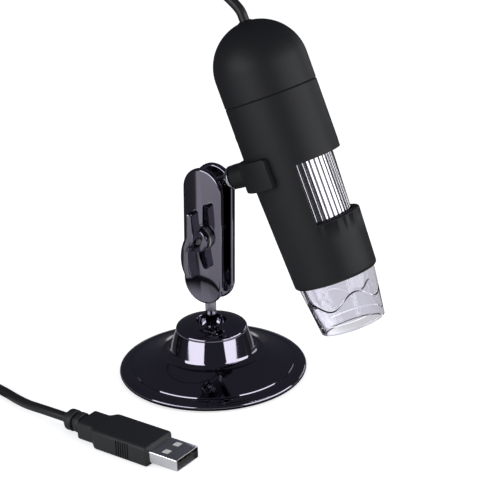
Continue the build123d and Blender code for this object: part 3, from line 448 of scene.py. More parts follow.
stud = {"ball": 3.8, "stem": 2.05, "thread": 1.45, "end": 7.6, "taperLow": 16.6, "taperHigh": 18.4,
        "reach": 18.5, "edge": 0.3, "turns": 64, "collarRadius": 4.35, "collarStart": 11.6,
        "collarEnd": 12.8, "collarPlay": 0.06, "collarTurns": 96}


def makeStuds(s):
    join = sqrt(s["ball"]**2 - s["stem"]**2)
    height = lowerBall.z
    outline = [(0, s["end"]), (s["thread"] - s["edge"], s["end"]), (s["thread"], s["end"] + s["edge"]),
               (s["thread"], s["taperLow"]), (s["stem"], s["taperHigh"]), (s["stem"], height - join)]
    outline += arcPoints(outline[-1], (s["ball"], height), (0, height + s["ball"]), 30)
    lower = turned("lowerStud", footAxes, outline, s["turns"], "studMetal", 40, closed=False)
    outline = [(0, -s["ball"])] + arcPoints((0, -s["ball"]), (s["ball"], 0), (s["stem"], join), 30)
    outline += [(s["stem"], s["reach"] - s["edge"]), (s["stem"] - s["edge"], s["reach"]), (0, s["reach"])]
    upper = turned("upperStud", studAxes, outline, s["turns"], "studMetal", 40, closed=False)
    bore = s["stem"] + s["collarPlay"]
    points = [(bore, s["collarStart"]), (s["collarRadius"], s["collarStart"]),
              (s["collarRadius"], s["collarEnd"]), (bore, s["collarEnd"])]
    soft = roundCorners(points, {1: s["edge"], 2: s["edge"] / 2})
    collar = turned("neckCollar", studAxes, soft, s["collarTurns"], "brightMetal", 32)
    return lower, upper, collar


lowerStud, upperStud, neckCollar = makeStuds(stud)
stands(lowerStud, "lower_stud", "dark_stud_steel", "lower_ball_stud")
stands(upperStud, "upper_stud", "dark_stud_steel", "upper_ball_stud")
stands(neckCollar, "holder", "stud_steel", "stud_collar")


# arm: two pressed plates with rounded rims

plate = {"middle": 19.4, "length": 53.0, "width": 17.3, "gap": 4.7, "thickness": 2.3,
         "round": 0.9, "hole": 2.2, "steps": 40, "roundSteps": 6}


def makePlate(name, side, s):
    half = s["width"] / 2
    straight = s["length"] / 2 - half
    inner = side * s["gap"] / 2
    outer = side * (s["gap"] / 2 + s["thickness"])

    def rim(inset):
        return [((half - inset) * cos(a), s["middle"] + end * straight + (half - inset) * sin(a))
                for end, start in ((1, 0.0), (-1, pi)) for a in (start + pi * n for n in evenly(s["steps"]))]

    hole = [(s["hole"] * cos(a), s["middle"] + s["hole"] * sin(a)) for a in anglesOf(2 * (s["steps"] + 1))]
    sweep = quarterRound(s["round"], evenly(s["roundSteps"]))
    levels = [(hole, inner)]
    levels += [(rim(inset), inner + side * depth) for inset, depth in sweep]
    levels += [(rim(inset), outer - side * depth) for inset, depth in reversed(sweep)]
    levels.append((hole, outer))
    bm = bmesh.new()
    skinRings(bm, [layRing(bm, armAxes, spots, height) for spots, height in levels], closed=True)
    return finishPiece(name, bm, "blackNickel", 50)


for name, side, node in (("frontPlate", 1, "clamp_front_plate"), ("rearPlate", -1, "clamp_rear_plate")):
    stands(makePlate(name, side, plate), "arm", "plate_metal", node)


# clamp knob: a wave-shaped wing on a hub

knob = {"base": 5.7, "bore": 2.25, "hubRadius": 4.6, "hubHeight": 2.4, "wingStart": 1.5, "depth": 6.9,
        "backRound": 0.7, "backSteps": 5, "faceRound": 1.0, "faceSteps": 8, "faceDepth": 1.15,
        "capSteps": 10, "hubSoft": {1: 0.3, 2: 0.9}, "turns": 72,
        # across, along and width from the thin top end to the bottom one
        "line": [(-0.45, 10.7, 2.6), (-0.35, 7.4, 3.0), (-0.2, 3.1, 3.6), (-0.6, 0.95, 3.65),
                 (-1.6, -1.2, 3.3), (-2.3, -3.35, 3.1), (-2.4, -5.5, 3.3), (-2.3, -7.6, 3.35),
                 (-1.85, -9.8, 3.3), (-0.75, -12.7, 2.8)], "steps": 8}


def smoothLine(points, steps):    # a smooth run through the given points
    out = []
    padded = [points[0]] + list(points) + [points[-1]]
    for n in range(1, len(padded) - 2):
        p0, p1, p2, p3 = (Vector(p) for p in padded[n - 1:n + 3])
        for k in range(steps):
            t = k / steps
            out.append(0.5 * (2 * p1 + (p2 - p0) * t + (2 * p0 - 5 * p1 + 4 * p2 - p3) * t**2
                              + (3 * p1 - p0 - 3 * p2 + p3) * t**3))
    out.append(Vector(padded[-2]))
    return out


def makeKnob(s):
    line = smoothLine(s["line"], s["steps"])

    def outline(inset):
        left, right = [], []
        for n, spot in enumerate(line):
            ahead = line[min(n + 1, len(line) - 1)] - line[max(n - 1, 0)]
            across = Vector((-ahead.y, ahead.x)).normalized() * (spot.z / 2 - inset)
            left.append((spot.x + across.x, spot.y + across.y))
            right.append((spot.x - across.x, spot.y - across.y))
        ends = []
        for spot, before in ((line[-1], line[-2]), (line[0], line[1])):
            heading = atan2(spot.y - before.y, spot.x - before.x) + pi / 2
            radius = spot.z / 2 - inset
            ends.append([(spot.x + radius * cos(a), spot.y + radius * sin(a))
                         for a in (heading - pi * share for share in evenly(s["capSteps"])[1:-1])])
        return left + ends[0] + right[::-1] + ends[1]

    low, high = s["base"] + s["wingStart"], s["base"] + s["depth"]
    levels = [(inset, low + depth) for inset, depth in quarterRound(s["backRound"], evenly(s["backSteps"]))]
    levels += [(inset, high - depth * s["faceDepth"])
               for inset, depth in reversed(quarterRound(s["faceRound"], evenly(s["faceSteps"])))]
    bm = bmesh.new()
    skinRings(bm, [layRing(bm, armAxes, [(x, y + plate["middle"]) for x, y in outline(inset)], height)
                   for inset, height in levels])
    hubTop = s["base"] + s["hubHeight"]
    hub = [(s["bore"], s["base"]), (s["hubRadius"], s["base"]), (s["hubRadius"], hubTop), (s["bore"], hubTop)]
    hubAxes = makeAxes(place(armAxes, 0, plate["middle"], 0) / mm, armAxes["x"], armAxes["z"])
    lathe(bm, hubAxes, roundCorners(hub, s["hubSoft"]), s["turns"])
    return finishPiece("wingKnob", bm, "knobGloss", 50)


stands(makeKnob(knob), "knob", "knob_plastic", "clamp_knob", "knob_hub")
print("arm done")


# scope shells: turned body with a window cut round its side

body = {"radius": 16.5, "wall": 1.9, "cableHole": 2.8, "capLength": 25.9, "seam": 0.3, "taperStart": 48.0,
        "mouth": 14.9, "end": 93.2, "mouthRound": 1.3, "mouthBend": (0.29, 0.25), "windowTop": 50.6,
        "windowBottom": 71.9, "windowHalf": radians(63.0), "lipRound": 1.5, "topRound": 0.25,
        "sideRound": 0.25,
        # stations of the rows above, beside and below the window, and the space inside
        "firstRow": 36.0, "guard": 0.8, "windowRows": (56.0, 64.0), "lowerRows": (80.0, 88.0),
        "noseBore": 13.0, "boardSeat": 12.4, "wheelRoom": 13.3, "roomStart": (47.0, 48.0), "turns": 168}


def bodyRadius(station, s=body):
    if station <= s["taperStart"]:
        return s["radius"]
    share = (station - s["taperStart"]) / (s["end"] - s["taperStart"])
    return s["radius"] + (s["mouth"] - s["radius"]) * share


def makeCap(s):
    inner = s["radius"] - s["wall"]
    hole = s["cableHole"]
    first = s["radius"] - sqrt(s["radius"]**2 - hole**2)
    share = sqrt(0.5)
    outline = [(hole, first)]
    outline += arcPoints((hole, first), (s["radius"] * share, s["radius"] * (1 - share)),
                         (s["radius"], s["radius"]), 36)
    outline += [(s["radius"], s["capLength"] - s["seam"]), (s["radius"] - s["seam"], s["capLength"]),
                (inner, s["capLength"]), (inner, s["radius"])]
    outline += arcPoints((inner, s["radius"]), (inner * share, s["radius"] - inner * share),
                         (hole, s["radius"] - sqrt(inner**2 - hole**2)), 24)
    return turned("rearCap", scopeAxes, outline, s["turns"], "softBlack", 30)


def makeHousing(s):    # rows and columns, open where the window is, whose lips are rounded
    turns = s["turns"]
    step = 2 * pi / turns
    columns = round(s["windowHalf"] / step)
    inner = s["radius"] - s["wall"]
    top, bottom, guard = s["windowTop"], s["windowBottom"], s["guard"]

    def outside(*stations):
        return [(z, bodyRadius(z)) for z in stations]

    rows = [(s["capLength"], s["radius"] - s["seam"]), (s["capLength"] + s["seam"], s["radius"])]
    rows += outside(s["firstRow"], s["taperStart"]) + [(top - guard, bodyRadius(top))]
    rows += outside(top, *s["windowRows"], bottom) + [(bottom + guard, bodyRadius(bottom))]
    rows += outside(*s["lowerRows"], s["end"] - s["mouthRound"])
    outerRows = len(rows) - 1
    bend = [s["mouthRound"] * share for share in s["mouthBend"]]
    rows += arcPoints(rows[-1], (s["end"] - bend[0], s["mouth"] - bend[1]),
                      (s["end"], s["mouth"] - s["mouthRound"]), 8)
    rows += [(s["end"], s["noseBore"]), (s["lowerRows"][1], s["noseBore"])]
    rows.append((s["lowerRows"][0], s["boardSeat"]))
    innerBottom = len(rows)
    innerTop = innerBottom + 1
    rows += [(z, s["wheelRoom"]) for z in (bottom, top, s["roomStart"][1])]
    rows += [(s["roomStart"][0], inner), (s["capLength"], inner)]
    bm = bmesh.new()
    grid = [[bm.verts.new(around(scopeAxes, radius, step * k, station)) for k in range(turns)]
            for station, radius in rows]
    weight = bm.edges.layers.float.new("bevel_weight_edge")
    outerSpan = [n for n, row in enumerate(rows[:outerRows]) if top - 1e-6 <= row[0] < bottom - 1e-6]
    hole = {k % turns for k in range(-columns, columns)}
    sides = (-columns % turns, columns % turns)
    for n in range(len(rows)):
        m = (n + 1) % len(rows)
        for k in range(turns):
            if k in hole and (n in outerSpan or n == innerBottom):
                continue
            q = (k + 1) % turns
            bm.faces.new((grid[n][k], grid[n][q], grid[m][q], grid[m][k]))
    outerTop, outerBottom = outerSpan[0], outerSpan[-1] + 1
    for k in hole:
        q = (k + 1) % turns
        bm.faces.new((grid[outerTop][k], grid[outerTop][q], grid[innerTop][q], grid[innerTop][k]))
        bm.faces.new((grid[outerBottom][q], grid[outerBottom][k], grid[innerBottom][k], grid[innerBottom][q]))
    for k in sides:
        outerRun = [grid[n][k] for n in range(outerTop, outerBottom + 1)]
        bm.faces.new(outerRun + [grid[innerBottom][k], grid[innerTop][k]])
    bm.edges.ensure_lookup_table()
    for k in hole:
        q = (k + 1) % turns
        for row, amount in ((outerTop, s["topRound"] / s["lipRound"]), (outerBottom, 1.0)):
            bm.edges.get((grid[row][k], grid[row][q]))[weight] = amount
    for k in sides:
        for n in range(outerTop, outerBottom):
            bm.edges.get((grid[n][k], grid[n + 1][k]))[weight] = s["sideRound"]
    piece = finishPiece("mainShell", bm, "softBlack", 34)
    edges = piece.modifiers.new("windowLips", "BEVEL")
    edges.width = s["lipRound"] * mm
    edges.segments = 6
    edges.limit_method = "WEIGHT"
    edges.harden_normals = True
    return applied(piece)


stands(makeCap(body), "scope", "shell_plastic", "rear_cap")
stands(makeHousing(body), "scope", "shell_plastic", "main_housing")
print("shells done")


# focus wheel: ribs repeated round a turned core, the core coloured darker as painted shade in the grooves

wheel = {"ribs": 40, "outer": 12.75, "core": 12.4, "bore": 10.1, "top": 50.0, "length": 22.5,
         "ribShare": 0.74, "corner": 0.22, "turns": 160}


def ribTree():    # ribs on a ring, each a rounded bar along the axis
    tree = bpy.data.node_groups.new("wheelRibs", "GeometryNodeTree")
    sockets = {"Geometry": "Geometry", "Ribs": "Int", "Ring Radius": "Float", "Rib Width": "Float",
               "Rib Depth": "Float", "Rib Length": "Float", "Corner": "Float", "Turn": "Rotation",
               "Place": "Vector", "Finish": "Material"}
    for label, kind in sockets.items():
        tree.interface.new_socket(label, in_out="INPUT", socket_type="NodeSocket" + kind)
    tree.interface.new_socket("Geometry", in_out="OUTPUT", socket_type="NodeSocketGeometry")
    start = add(tree, "NodeGroupInput").outputs
    ring = add(tree, "GeometryNodeMeshCircle", {"Vertices": start["Ribs"], "Radius": start["Ring Radius"]})
    section = add(tree, "GeometryNodeCurvePrimitiveQuadrilateral",
                  {"Width": start["Rib Depth"], "Height": start["Rib Width"]})
    softened = add(tree, "GeometryNodeFilletCurve",
                   {"Count": 3, "Curve": section, "Radius": start["Corner"]}, mode="POLY")
    reach = add(tree, "ShaderNodeCombineXYZ", {"Z": start["Rib Length"]})
    line = add(tree, "GeometryNodeCurvePrimitiveLine", {"End": reach})
    bar = add(tree, "GeometryNodeCurveToMesh", {"Fill Caps": True, "Curve": line, "Profile Curve": softened})
    spot = add(tree, "GeometryNodeInputPosition")
    facing = add(tree, "FunctionNodeAlignRotationToVector", {"Vector": spot}, axis="X", pivot_axis="Z")
    rows = add(tree, "GeometryNodeInstanceOnPoints", {"Points": ring, "Instance": bar, "Rotation": facing})
    real = add(tree, "GeometryNodeRealizeInstances", {"Geometry": rows})
    moved = add(tree, "GeometryNodeTransform",
                {"Geometry": real, "Rotation": start["Turn"], "Translation": start["Place"]})
    painted = add(tree, "GeometryNodeSetMaterial", {"Geometry": moved, "Material": start["Finish"]})
    both = add(tree, "GeometryNodeJoinGeometry", {"Geometry": start["Geometry"]})
    feed(tree, both, {"Geometry": painted})
    add(tree, "NodeGroupOutput", {"Geometry": both})
    return tree


def withTree(piece, tree, values):    # inputs set by name, then turned into plain mesh
    modifier = piece.modifiers.new(tree.name, "NODES")
    modifier.node_group = tree
    for item in tree.interface.items_tree:
        if item.item_type == "SOCKET" and item.in_out == "INPUT" and item.name in values:
            modifier[item.identifier] = values[item.name]
    return applied(piece)


def turnOf(axes):
    return Matrix((axes["x"], axes["y"], axes["z"])).transposed().to_euler()


def makeWheel(s):
    end = s["top"] + s["length"]
    core = [(s["bore"], s["top"]), (s["core"], s["top"]), (s["core"], end), (s["bore"], end)]
    piece = turned("focusWheel", scopeAxes, core, s["turns"], "wheelGrooveShade", 30)
    depth = 2 * (s["outer"] - s["core"])
    return withTree(piece, ribTree(), {
        "Ribs": s["ribs"], "Ring Radius": (s["outer"] - depth / 2) * mm,
        "Rib Width": 2 * pi * s["outer"] / s["ribs"] * s["ribShare"] * mm,
        "Rib Depth": depth * mm, "Rib Length": s["length"] * mm, "Corner": s["corner"] * mm,
        "Turn": turnOf(scopeAxes), "Place": place(scopeAxes, 0, 0, s["top"]),
        "Finish": made["wheelSilver"],
    })


stands(makeWheel(wheel), "focus_ring", "wheel_silver", "focus_wheel")
print("focus wheel done")


# clear nose with its scalloped inner band

nose = {"topRadius": 13.75, "tipRadius": 11.5, "end": 111.2, "wall": 1.25, "tipRound": 0.75,
        "spigot": 12.9, "spigotStart": 89.2, "start": 93.2, "band": 0.45, "bandHeight": 7.0,
        "scallops": 4, "scallopRise": 2.2, "scallopTurn": radians(102), "lipHeight": 3.1,
        "lip": 0.38, "bandTop": 2.0, "tipBend": (0.29, 0.22), "turns": 180}


def makeNose(s):
    def outer(station):
        share = (station - s["start"]) / (s["end"] - s["start"])
        return s["topRadius"] + (s["tipRadius"] - s["topRadius"]) * share

    tip = [(s["end"] - s["tipRound"], outer(s["end"] - s["tipRound"]))]
    bend = [s["tipRound"] * share for share in s["tipBend"]]
    tip += arcPoints(tip[0], (s["end"] - bend[0], outer(s["end"]) - bend[1]),
                     (s["end"], outer(s["end"]) - s["tipRound"]), 6)
    wall, band, lip = s["wall"], s["band"], s["lip"]
    thick = wall + band
    lipStart = s["end"] - s["lipHeight"]

    def rows(angle):
        wave = s["scallopRise"] * sin(s["scallops"] * angle + s["scallopTurn"])
        edge = s["start"] + s["bandHeight"] + wave
        return [(s["spigotStart"], outer(s["start"]) - thick), (s["spigotStart"], s["spigot"]),
                (s["start"], s["spigot"]), (s["start"], s["topRadius"]), *tip,
                (s["end"], outer(s["end"]) - wall), (lipStart, outer(lipStart) - wall),
                (lipStart - lip, outer(lipStart) - wall + lip),
                (edge + band, outer(edge) - wall + lip), (edge + band * 0.5, outer(edge) - wall),
                (edge, outer(edge) - thick), (edge - s["bandTop"], outer(edge - s["bandTop"]) - thick)]

    bm = bmesh.new()
    columns = [[bm.verts.new(around(scopeAxes, radius, a, station)) for station, radius in rows(a)]
               for a in anglesOf(s["turns"])]
    skinRings(bm, columns, closed=True)
    return finishPiece("clearNose", bm, "noseClear", 30)


stands(makeNose(nose), "scope", "nose_clear", "clear_nose")
print("nose done")


# gland: a soft bush whose lip just shows round the cable

gland = {"hole": 1.76, "lip": 2.2, "neck": 2.74, "flange": 5.2, "proud": 0.22, "bevel": 0.12,
         "neckStart": 0.3, "neckEnd": 2.22, "flangeStart": 2.92, "end": 4.32,
         "soft": {1: 0.1, 5: 0.2}, "turns": 72}


def makeGland(s):
    outline = [(s["hole"], -s["proud"]), (s["lip"], -s["proud"] + s["bevel"]), (s["neck"], s["neckStart"]),
               (s["neck"], s["neckEnd"]), (s["flange"], s["flangeStart"]),
               (s["flange"], s["end"]), (s["hole"], s["end"])]
    soft = roundCorners(outline, s["soft"], 3)
    return turned("cableBush", scopeAxes, soft, s["turns"], "cableSatin", 40)


stands(makeGland(gland), "scope", "gland_rubber", "cable_gland")
print("gland done")


# clip: an open ring with a round neck, soft at every edge

clip = {"inner": 16.58, "wall": 2.5, "start": 44.9, "end": 55.5, "half": radians(97.0),
        "cornerRound": 0.6, "edge": 0.55, "innerEdge": 0.3, "columns": 96,
        "bore": 2.11, "neckRadius": 4.45, "neckStart": 12.8, "neckEnd": 23.2, "neckRound": 1.5,
        "flareLength": 2.4, "flareBend": (0.35, 0.9), "flare": 1.3, "flareStep": 0.4, "neckTurns": 72}


def makeClip(s):
    mid = (s["start"] + s["end"]) / 2
    halfWidth = (s["end"] - s["start"]) / 2
    outer = s["inner"] + s["wall"]
    bm = bmesh.new()
    rings = []
    for k in range(s["columns"] + 1):
        share = -1 + 2 * k / s["columns"]
        angle = pi + share * s["half"]
        left = (1 - abs(share)) * s["half"] * outer    # arc length to the nearer end
        pull = 0.0
        if left < s["cornerRound"]:
            t = 1 - left / s["cornerRound"]
            pull = s["cornerRound"] * (1 - sqrt(max(0.0, 1 - t * t)))
        width = halfWidth - pull
        box = roundCorners([(s["inner"], -width), (outer, -width), (outer, width), (s["inner"], width)],
                           {0: s["innerEdge"], 1: s["edge"], 2: s["edge"], 3: s["innerEdge"]}, 4)
        rings.append([bm.verts.new(around(clipAxes, radius, angle, mid + z)) for radius, z in box])
    skinRings(bm, rings)
    radius, end = s["neckRadius"], s["neckEnd"]
    flareStart = (radius, end - s["flareLength"])
    neck = [(s["bore"], s["neckStart"]), (radius, s["neckStart"]), flareStart]
    neck = roundCorners(neck, {1: s["neckRound"]}, 6)
    bend = (radius + s["flareBend"][0], end - s["flareBend"][1])
    neck += arcPoints(flareStart, bend, (radius + s["flare"], end), 6)
    neck.append((s["bore"], end - s["flareStep"]))
    lathe(bm, studAxes, neck, s["neckTurns"])
    return finishPiece("scopeClip", bm, "clipBlack", 35)


stands(makeClip(clip), "holder", "clip_plastic", "scope_holder")
print("clip done")


# cable: its route's points in mm

cable = {"radius": 1.75, "coil": (-141.0, -31.0), "pitch": 3.98, "innerRadius": 13.7, "halfTurns": 7,
         "low": 2.5, "lead": 3.5, "perHalfTurn": 8, "exitRun": 3.4, "glandProud": 0.4, "sunk": 1.6,
         "landingRun": 8.5, "landingTurns": 4, "plugRun": 11.0, "coilRun": 18.0}
upperRoute = [(15.2, -0.5, 143.7), (10.6, -1.2, 147.3), (5.0, -0.9, 150.9), (-3.2, 0, 154.3),
              (-19.0, 0, 156.6), (-43.0, -0.3, 156.4), (-72.0, -0.9, 153.0), (-98.5, -1.6, 142.5),
              (-112.0, -2.4, 118.0), (-113.5, -3.0, 90.0), (-114.0, -3.3, 62.0), (-112.6, -3.4, 38.0)]
lowerRoute = [(-38.5, -62.9, 2.2), (-54.5, -58.9, 1.8), (-76.0, -56.6, 1.85), (-100.0, -57.3, 2.2)]


def coilPoints(s):    # from the lower outside end to the upper one
    step = s["pitch"] / 2
    high = s["low"] + s["pitch"]
    cx, cy = s["coil"]
    turnShare = pi / s["perHalfTurn"]
    swell = 1 / (0.75 + 0.25 * cos(turnShare))    # a spline runs inside its points
    points = []

    def halfTurn(middle, radius, z0, z1, left):
        start = -90 if left else 90
        for k in range(s["perHalfTurn"]):
            share = (k + 0.5) / s["perHalfTurn"]
            a = radians(start - 180 * share)
            points.append((cx + radius * swell * cos(a), cy + middle + radius * swell * sin(a),
                           z0 + (z1 - z0) * (share - sin(2 * pi * share) / (2 * pi))))

    for turn in range(s["halfTurns"]):
        left = turn % 2 == 0
        radius = s["innerRadius"] + step * (s["halfTurns"] - 1 - turn)
        halfTurn(-step if left else 0, radius, s["low"], s["low"], left)
    halfTurn(0, s["innerRadius"] - step, s["low"], high, False)
    for turn in range(s["halfTurns"]):
        left = turn % 2 == 0
        halfTurn(step if left else 0, s["innerRadius"] + step * turn, high, high, left)
    reach = s["innerRadius"] + step * s["halfTurns"]
    entry = (cx + s["lead"], cy - reach, s["low"])
    leaving = (cx + s["lead"], cy + reach, high)
    return entry, points, leaving


def makeCord(name, points):
    data = bpy.data.curves.new(name, "CURVE")
    data.dimensions = "3D"
    data.resolution_u = 8
    data.bevel_depth = cable["radius"] * mm
    data.bevel_resolution = 5
    data.use_fill_caps = True
    spline = data.splines.new("NURBS")
    spline.points.add(len(points) - 1)
    for spot, (x, y, z) in zip(spline.points, points):
        spot.co = (x * mm, y * mm, z * mm, 1)
    spline.order_u = 3
    spline.use_endpoint_u = True
    data.materials.append(made["cableSatin"])
    return addObject(name, data)


coilEntry, coilTurns, coilLeaving = coilPoints(cable)
sunkEnd, glandEnd, rising = (
    place(scopeAxes, 0, 0, station) / mm
    for station in (cable["sunk"], -cable["glandProud"], -cable["glandProud"] - cable["exitRun"])
)
landing = []
spot = Vector(coilLeaving)
for corner in range(cable["landingTurns"]):
    heading = radians(90 * corner / cable["landingTurns"])
    spot = spot + Vector((cos(heading), 0, sin(heading))) * cable["landingRun"]
    landing.insert(0, spot)
cordUpper = makeCord("cableUpper", [sunkEnd, glandEnd, rising, *upperRoute, *landing, coilLeaving])
reliefEnd = plugAxes["origin"]
plugLeaving = reliefEnd - plugAxes["z"] * cable["plugRun"]
coilJoining = (coilEntry[0] + cable["coilRun"], coilEntry[1], coilEntry[2])
cordLower = makeCord("cableLower", [coilLeaving, *reversed(coilTurns), coilEntry, coilJoining,
                                    *reversed(lowerRoute), plugLeaving, reliefEnd])
stands(cordUpper, "holder", "cable_jacket", "cord_upper")
stands(cordLower, "stand", "cable_jacket", "cord_coil", "cord_lower")


# plug: overmould with its relief, grip grooves and step, then the folded shell

plug = {"relief": 2.9, "reliefLength": 9.4, "rings": [(1.8, 2.9, 3.85), (5.9, 2.3, 3.75)],
        "sleeve": [(0.0, 2.05), (0.2, 2.25), (1.3, 2.25), (1.75, 2.9)],    # station and radius
        "ringSoft": 0.45, "ringShares": (0.0, 0.3, 0.65, 1.0), "rear": (7.1, 10.8), "rearRound": 0.6,
        "rearShares": (0.0, 0.35, 0.7, 1.0), "slope": (15.7, 19.2), "body": (7.8, 14.8), "bodyEnd": 41.8,
        "corner": 1.5, "frontRound": 1.0, "grooves": 6, "grooveStart": 28.6, "groovePitch": 1.0,
        "grooveWidth": 0.5, "grooveLip": 0.06, "grooveDepth": 0.4, "grooveHalf": 3.02,
        "angles": (0, 8, 16, 23.5, 25.3, 35, 47, 59, 70, 80, 90)}


def makePlugBody(s):    # rings of its section, from the cable to the shell
    def section(height, width, corner, groove=0.0):
        points = []
        for up, out in ((1, 1), (1, -1), (-1, -1), (-1, 1)):
            quarter = []
            for angle in s["angles"]:
                a = radians(angle)
                x = height / 2 - corner + corner * sin(a)
                y = width / 2 - corner + corner * cos(a)
                if groove and x < s["grooveHalf"]:
                    y = min(y, width / 2 - groove)
                quarter.append((up * x, out * y))
            points += quarter if up == out else quarter[::-1]
        return points

    bm = bmesh.new()
    rings = []

    def box(station, height, width, corner, groove=0.0):
        rings.append(layRing(bm, plugAxes, section(height, width, corner, groove), station))

    def disc(station, radius):
        box(station, 2 * radius, 2 * radius, radius)

    for station, radius in s["sleeve"]:
        disc(station, radius)
    for start, width, radius in s["rings"]:
        sweep = quarterRound(s["ringSoft"], s["ringShares"])
        disc(start, s["relief"])
        for inset, depth in sweep:
            disc(start + depth, radius - inset)
        for inset, depth in reversed(sweep):
            disc(start + width - depth, radius - inset)
        disc(start + width, s["relief"])
    disc(s["reliefLength"], s["relief"])
    (rearHigh, rearWide), (high, wide), corner = s["rear"], s["body"], s["corner"]
    for inset, depth in quarterRound(s["rearRound"], s["rearShares"]):
        box(s["reliefLength"] + depth, rearHigh - 2 * inset, rearWide - 2 * inset, corner - inset)
    slopeStart, slopeEnd = s["slope"]
    for share in evenly(8):
        grown = share * share * (3 - 2 * share)
        box(slopeStart + (slopeEnd - slopeStart) * share,
            rearHigh + (high - rearHigh) * grown, rearWide + (wide - rearWide) * grown, corner)
    lip, gap = s["grooveLip"], s["grooveWidth"]
    across = ((0, 0), (lip, s["grooveDepth"]), (gap - lip, s["grooveDepth"]), (gap, 0))
    for n in range(s["grooves"]):
        for shift, depth in across:
            box(s["grooveStart"] + n * s["groovePitch"] + shift, high, wide, corner, depth)
    for inset, depth in reversed(quarterRound(s["frontRound"], evenly(5))):
        box(s["bodyEnd"] - depth, high - 2 * inset, wide - 2 * inset, corner - inset)
    skinRings(bm, rings)
    return finishPiece("plugBody", bm, "plugBlack", 30)


shell = {"width": 12.0, "height": 4.5, "wall": 0.32, "corner": 0.6, "start": 38.8, "end": 53.8,
         "hole": 2.5, "holeSpacing": 5.8, "holeBack": 6.4, "lip": 0.12, "cornerLeast": 0.12,
         "padGap": 0.02, "padDepth": 0.4, "padSpread": 0.3}


def makeShell(s):    # a folded sleeve with two windows in each broad side
    halfH, halfW = s["height"] / 2, s["width"] / 2
    near = s["end"] - s["holeBack"] - s["hole"] / 2
    far = near + s["hole"]
    stations = [s["start"], near, far, s["end"] - s["lip"], s["end"]]
    holes = (-s["holeSpacing"] / 2, s["holeSpacing"] / 2)
    cuts = [y + side * s["hole"] / 2 for y in holes for side in (-1, 1)]

    def ring(station, inset):
        h, w, c = halfH - inset, halfW - inset, max(s["corner"] - inset, s["cornerLeast"])
        k = c * 0.293    # how far the middle of a rounded corner lies in
        half = [(h, -w + c)] + [(h, y) for y in cuts] + [(h, w - c)]
        half += arcPoints((h, w - c), (h - k, w - k), (h - c, w), 4) + [(-h + c, w)]
        half += arcPoints((-h + c, w), (-h + k, w - k), (-h, w - c), 4)[:-1]
        return [place(plugAxes, side * x, side * y, station) for side in (1, -1) for x, y in half]

    bm = bmesh.new()
    outer = [[bm.verts.new(p) for p in ring(z, 0 if z < s["end"] else s["lip"])] for z in stations]
    inner = [[bm.verts.new(p) for p in ring(z, s["wall"])] for z in stations]
    count = len(outer[0])
    openings = [n + start for start in (0, count // 2) for n in (1, 3)]
    for layer in (outer, inner):
        for z, (one, other) in enumerate(zip(layer, layer[1:])):
            for n in range(count):
                if z == 1 and n in openings:
                    continue
                m = (n + 1) % count
                bm.faces.new((one[n], one[m], other[m], other[n]))
    for end in (0, -1):
        for n in range(count):
            m = (n + 1) % count
            bm.faces.new((outer[end][n], outer[end][m], inner[end][m], inner[end][n]))
    for n in openings:
        for a, b in (((1, n), (1, n + 1)), ((1, n + 1), (2, n + 1)), ((2, n + 1), (2, n)), ((2, n), (1, n))):
            bm.faces.new((outer[a[0]][a[1]], outer[b[0]][b[1]], inner[b[0]][b[1]], inner[a[0]][a[1]]))
    # painted light: a pale pad just inside each window stands in for the light seen through it
    pads = []
    for side in (1, -1):
        for y in holes:
            half = s["hole"] / 2 + s["padSpread"]
            levels = [side * (halfH - s["wall"] - depth) for depth in (s["padGap"], s["padDepth"])]
            low, high = ([bm.verts.new(place(plugAxes, x, y + across * half, (near + far) / 2 + along * half))
                          for across, along in ((-1, -1), (1, -1), (1, 1), (-1, 1))] for x in levels)
            pads += [bm.faces.new(low), bm.faces.new(high[::-1])]
            pads += [bm.faces.new((low[n], high[n], high[(n + 1) % 4], low[(n + 1) % 4])) for n in range(4)]
    for face in pads:
        face.material_index = 1
    piece = finishPiece("plugShell", bm, "plugNickel", 40)
    piece.data.materials.append(made["paintedLightPad"])
    return piece


plugBody = stands(makePlugBody(plug), "stand", "plug_plastic", "plug_overmould")
plugShell = stands(makeShell(shell), "stand", "plug_steel", "plug_shell")
print("cable and plug done")


# CAD nodes whose shape is already right

kept = {
    "footRubber": ["base_pad"], "keyGrey": ["snapshot_button"], "lampClear": ["lamps"],
    "zincMetal": ["stud_washer", "stud_nut", "clamp_bolt", "knob_washer", "board_standoffs", "board_screws"],
    "innerBlack": ["focus_guide_tube", "lens_barrel", "front_lens_ring", "rear_lens_ring", "sensor_hood"],
    "lensClear": ["front_lens", "rear_lens"], "filterClear": ["infrared_filter"],
    "boardGreen": ["sensor_board", "main_board", "lamp_board"],
    "chipBlack": ["image_sensor", "controller_and_header", "snapshot_switch"],
    "clipBlack": ["coil_tie"], "tongueBlack": ["plug_tongue"], "contactGold": ["plug_contacts"],
}
for material, names in kept.items():
    for name in names:
        nodes[name].data.materials.clear()
        nodes[name].data.materials.append(made[material])
print("kept nodes finished:", sum(len(names) for names in kept.values()))


# floor, lamps and surroundings

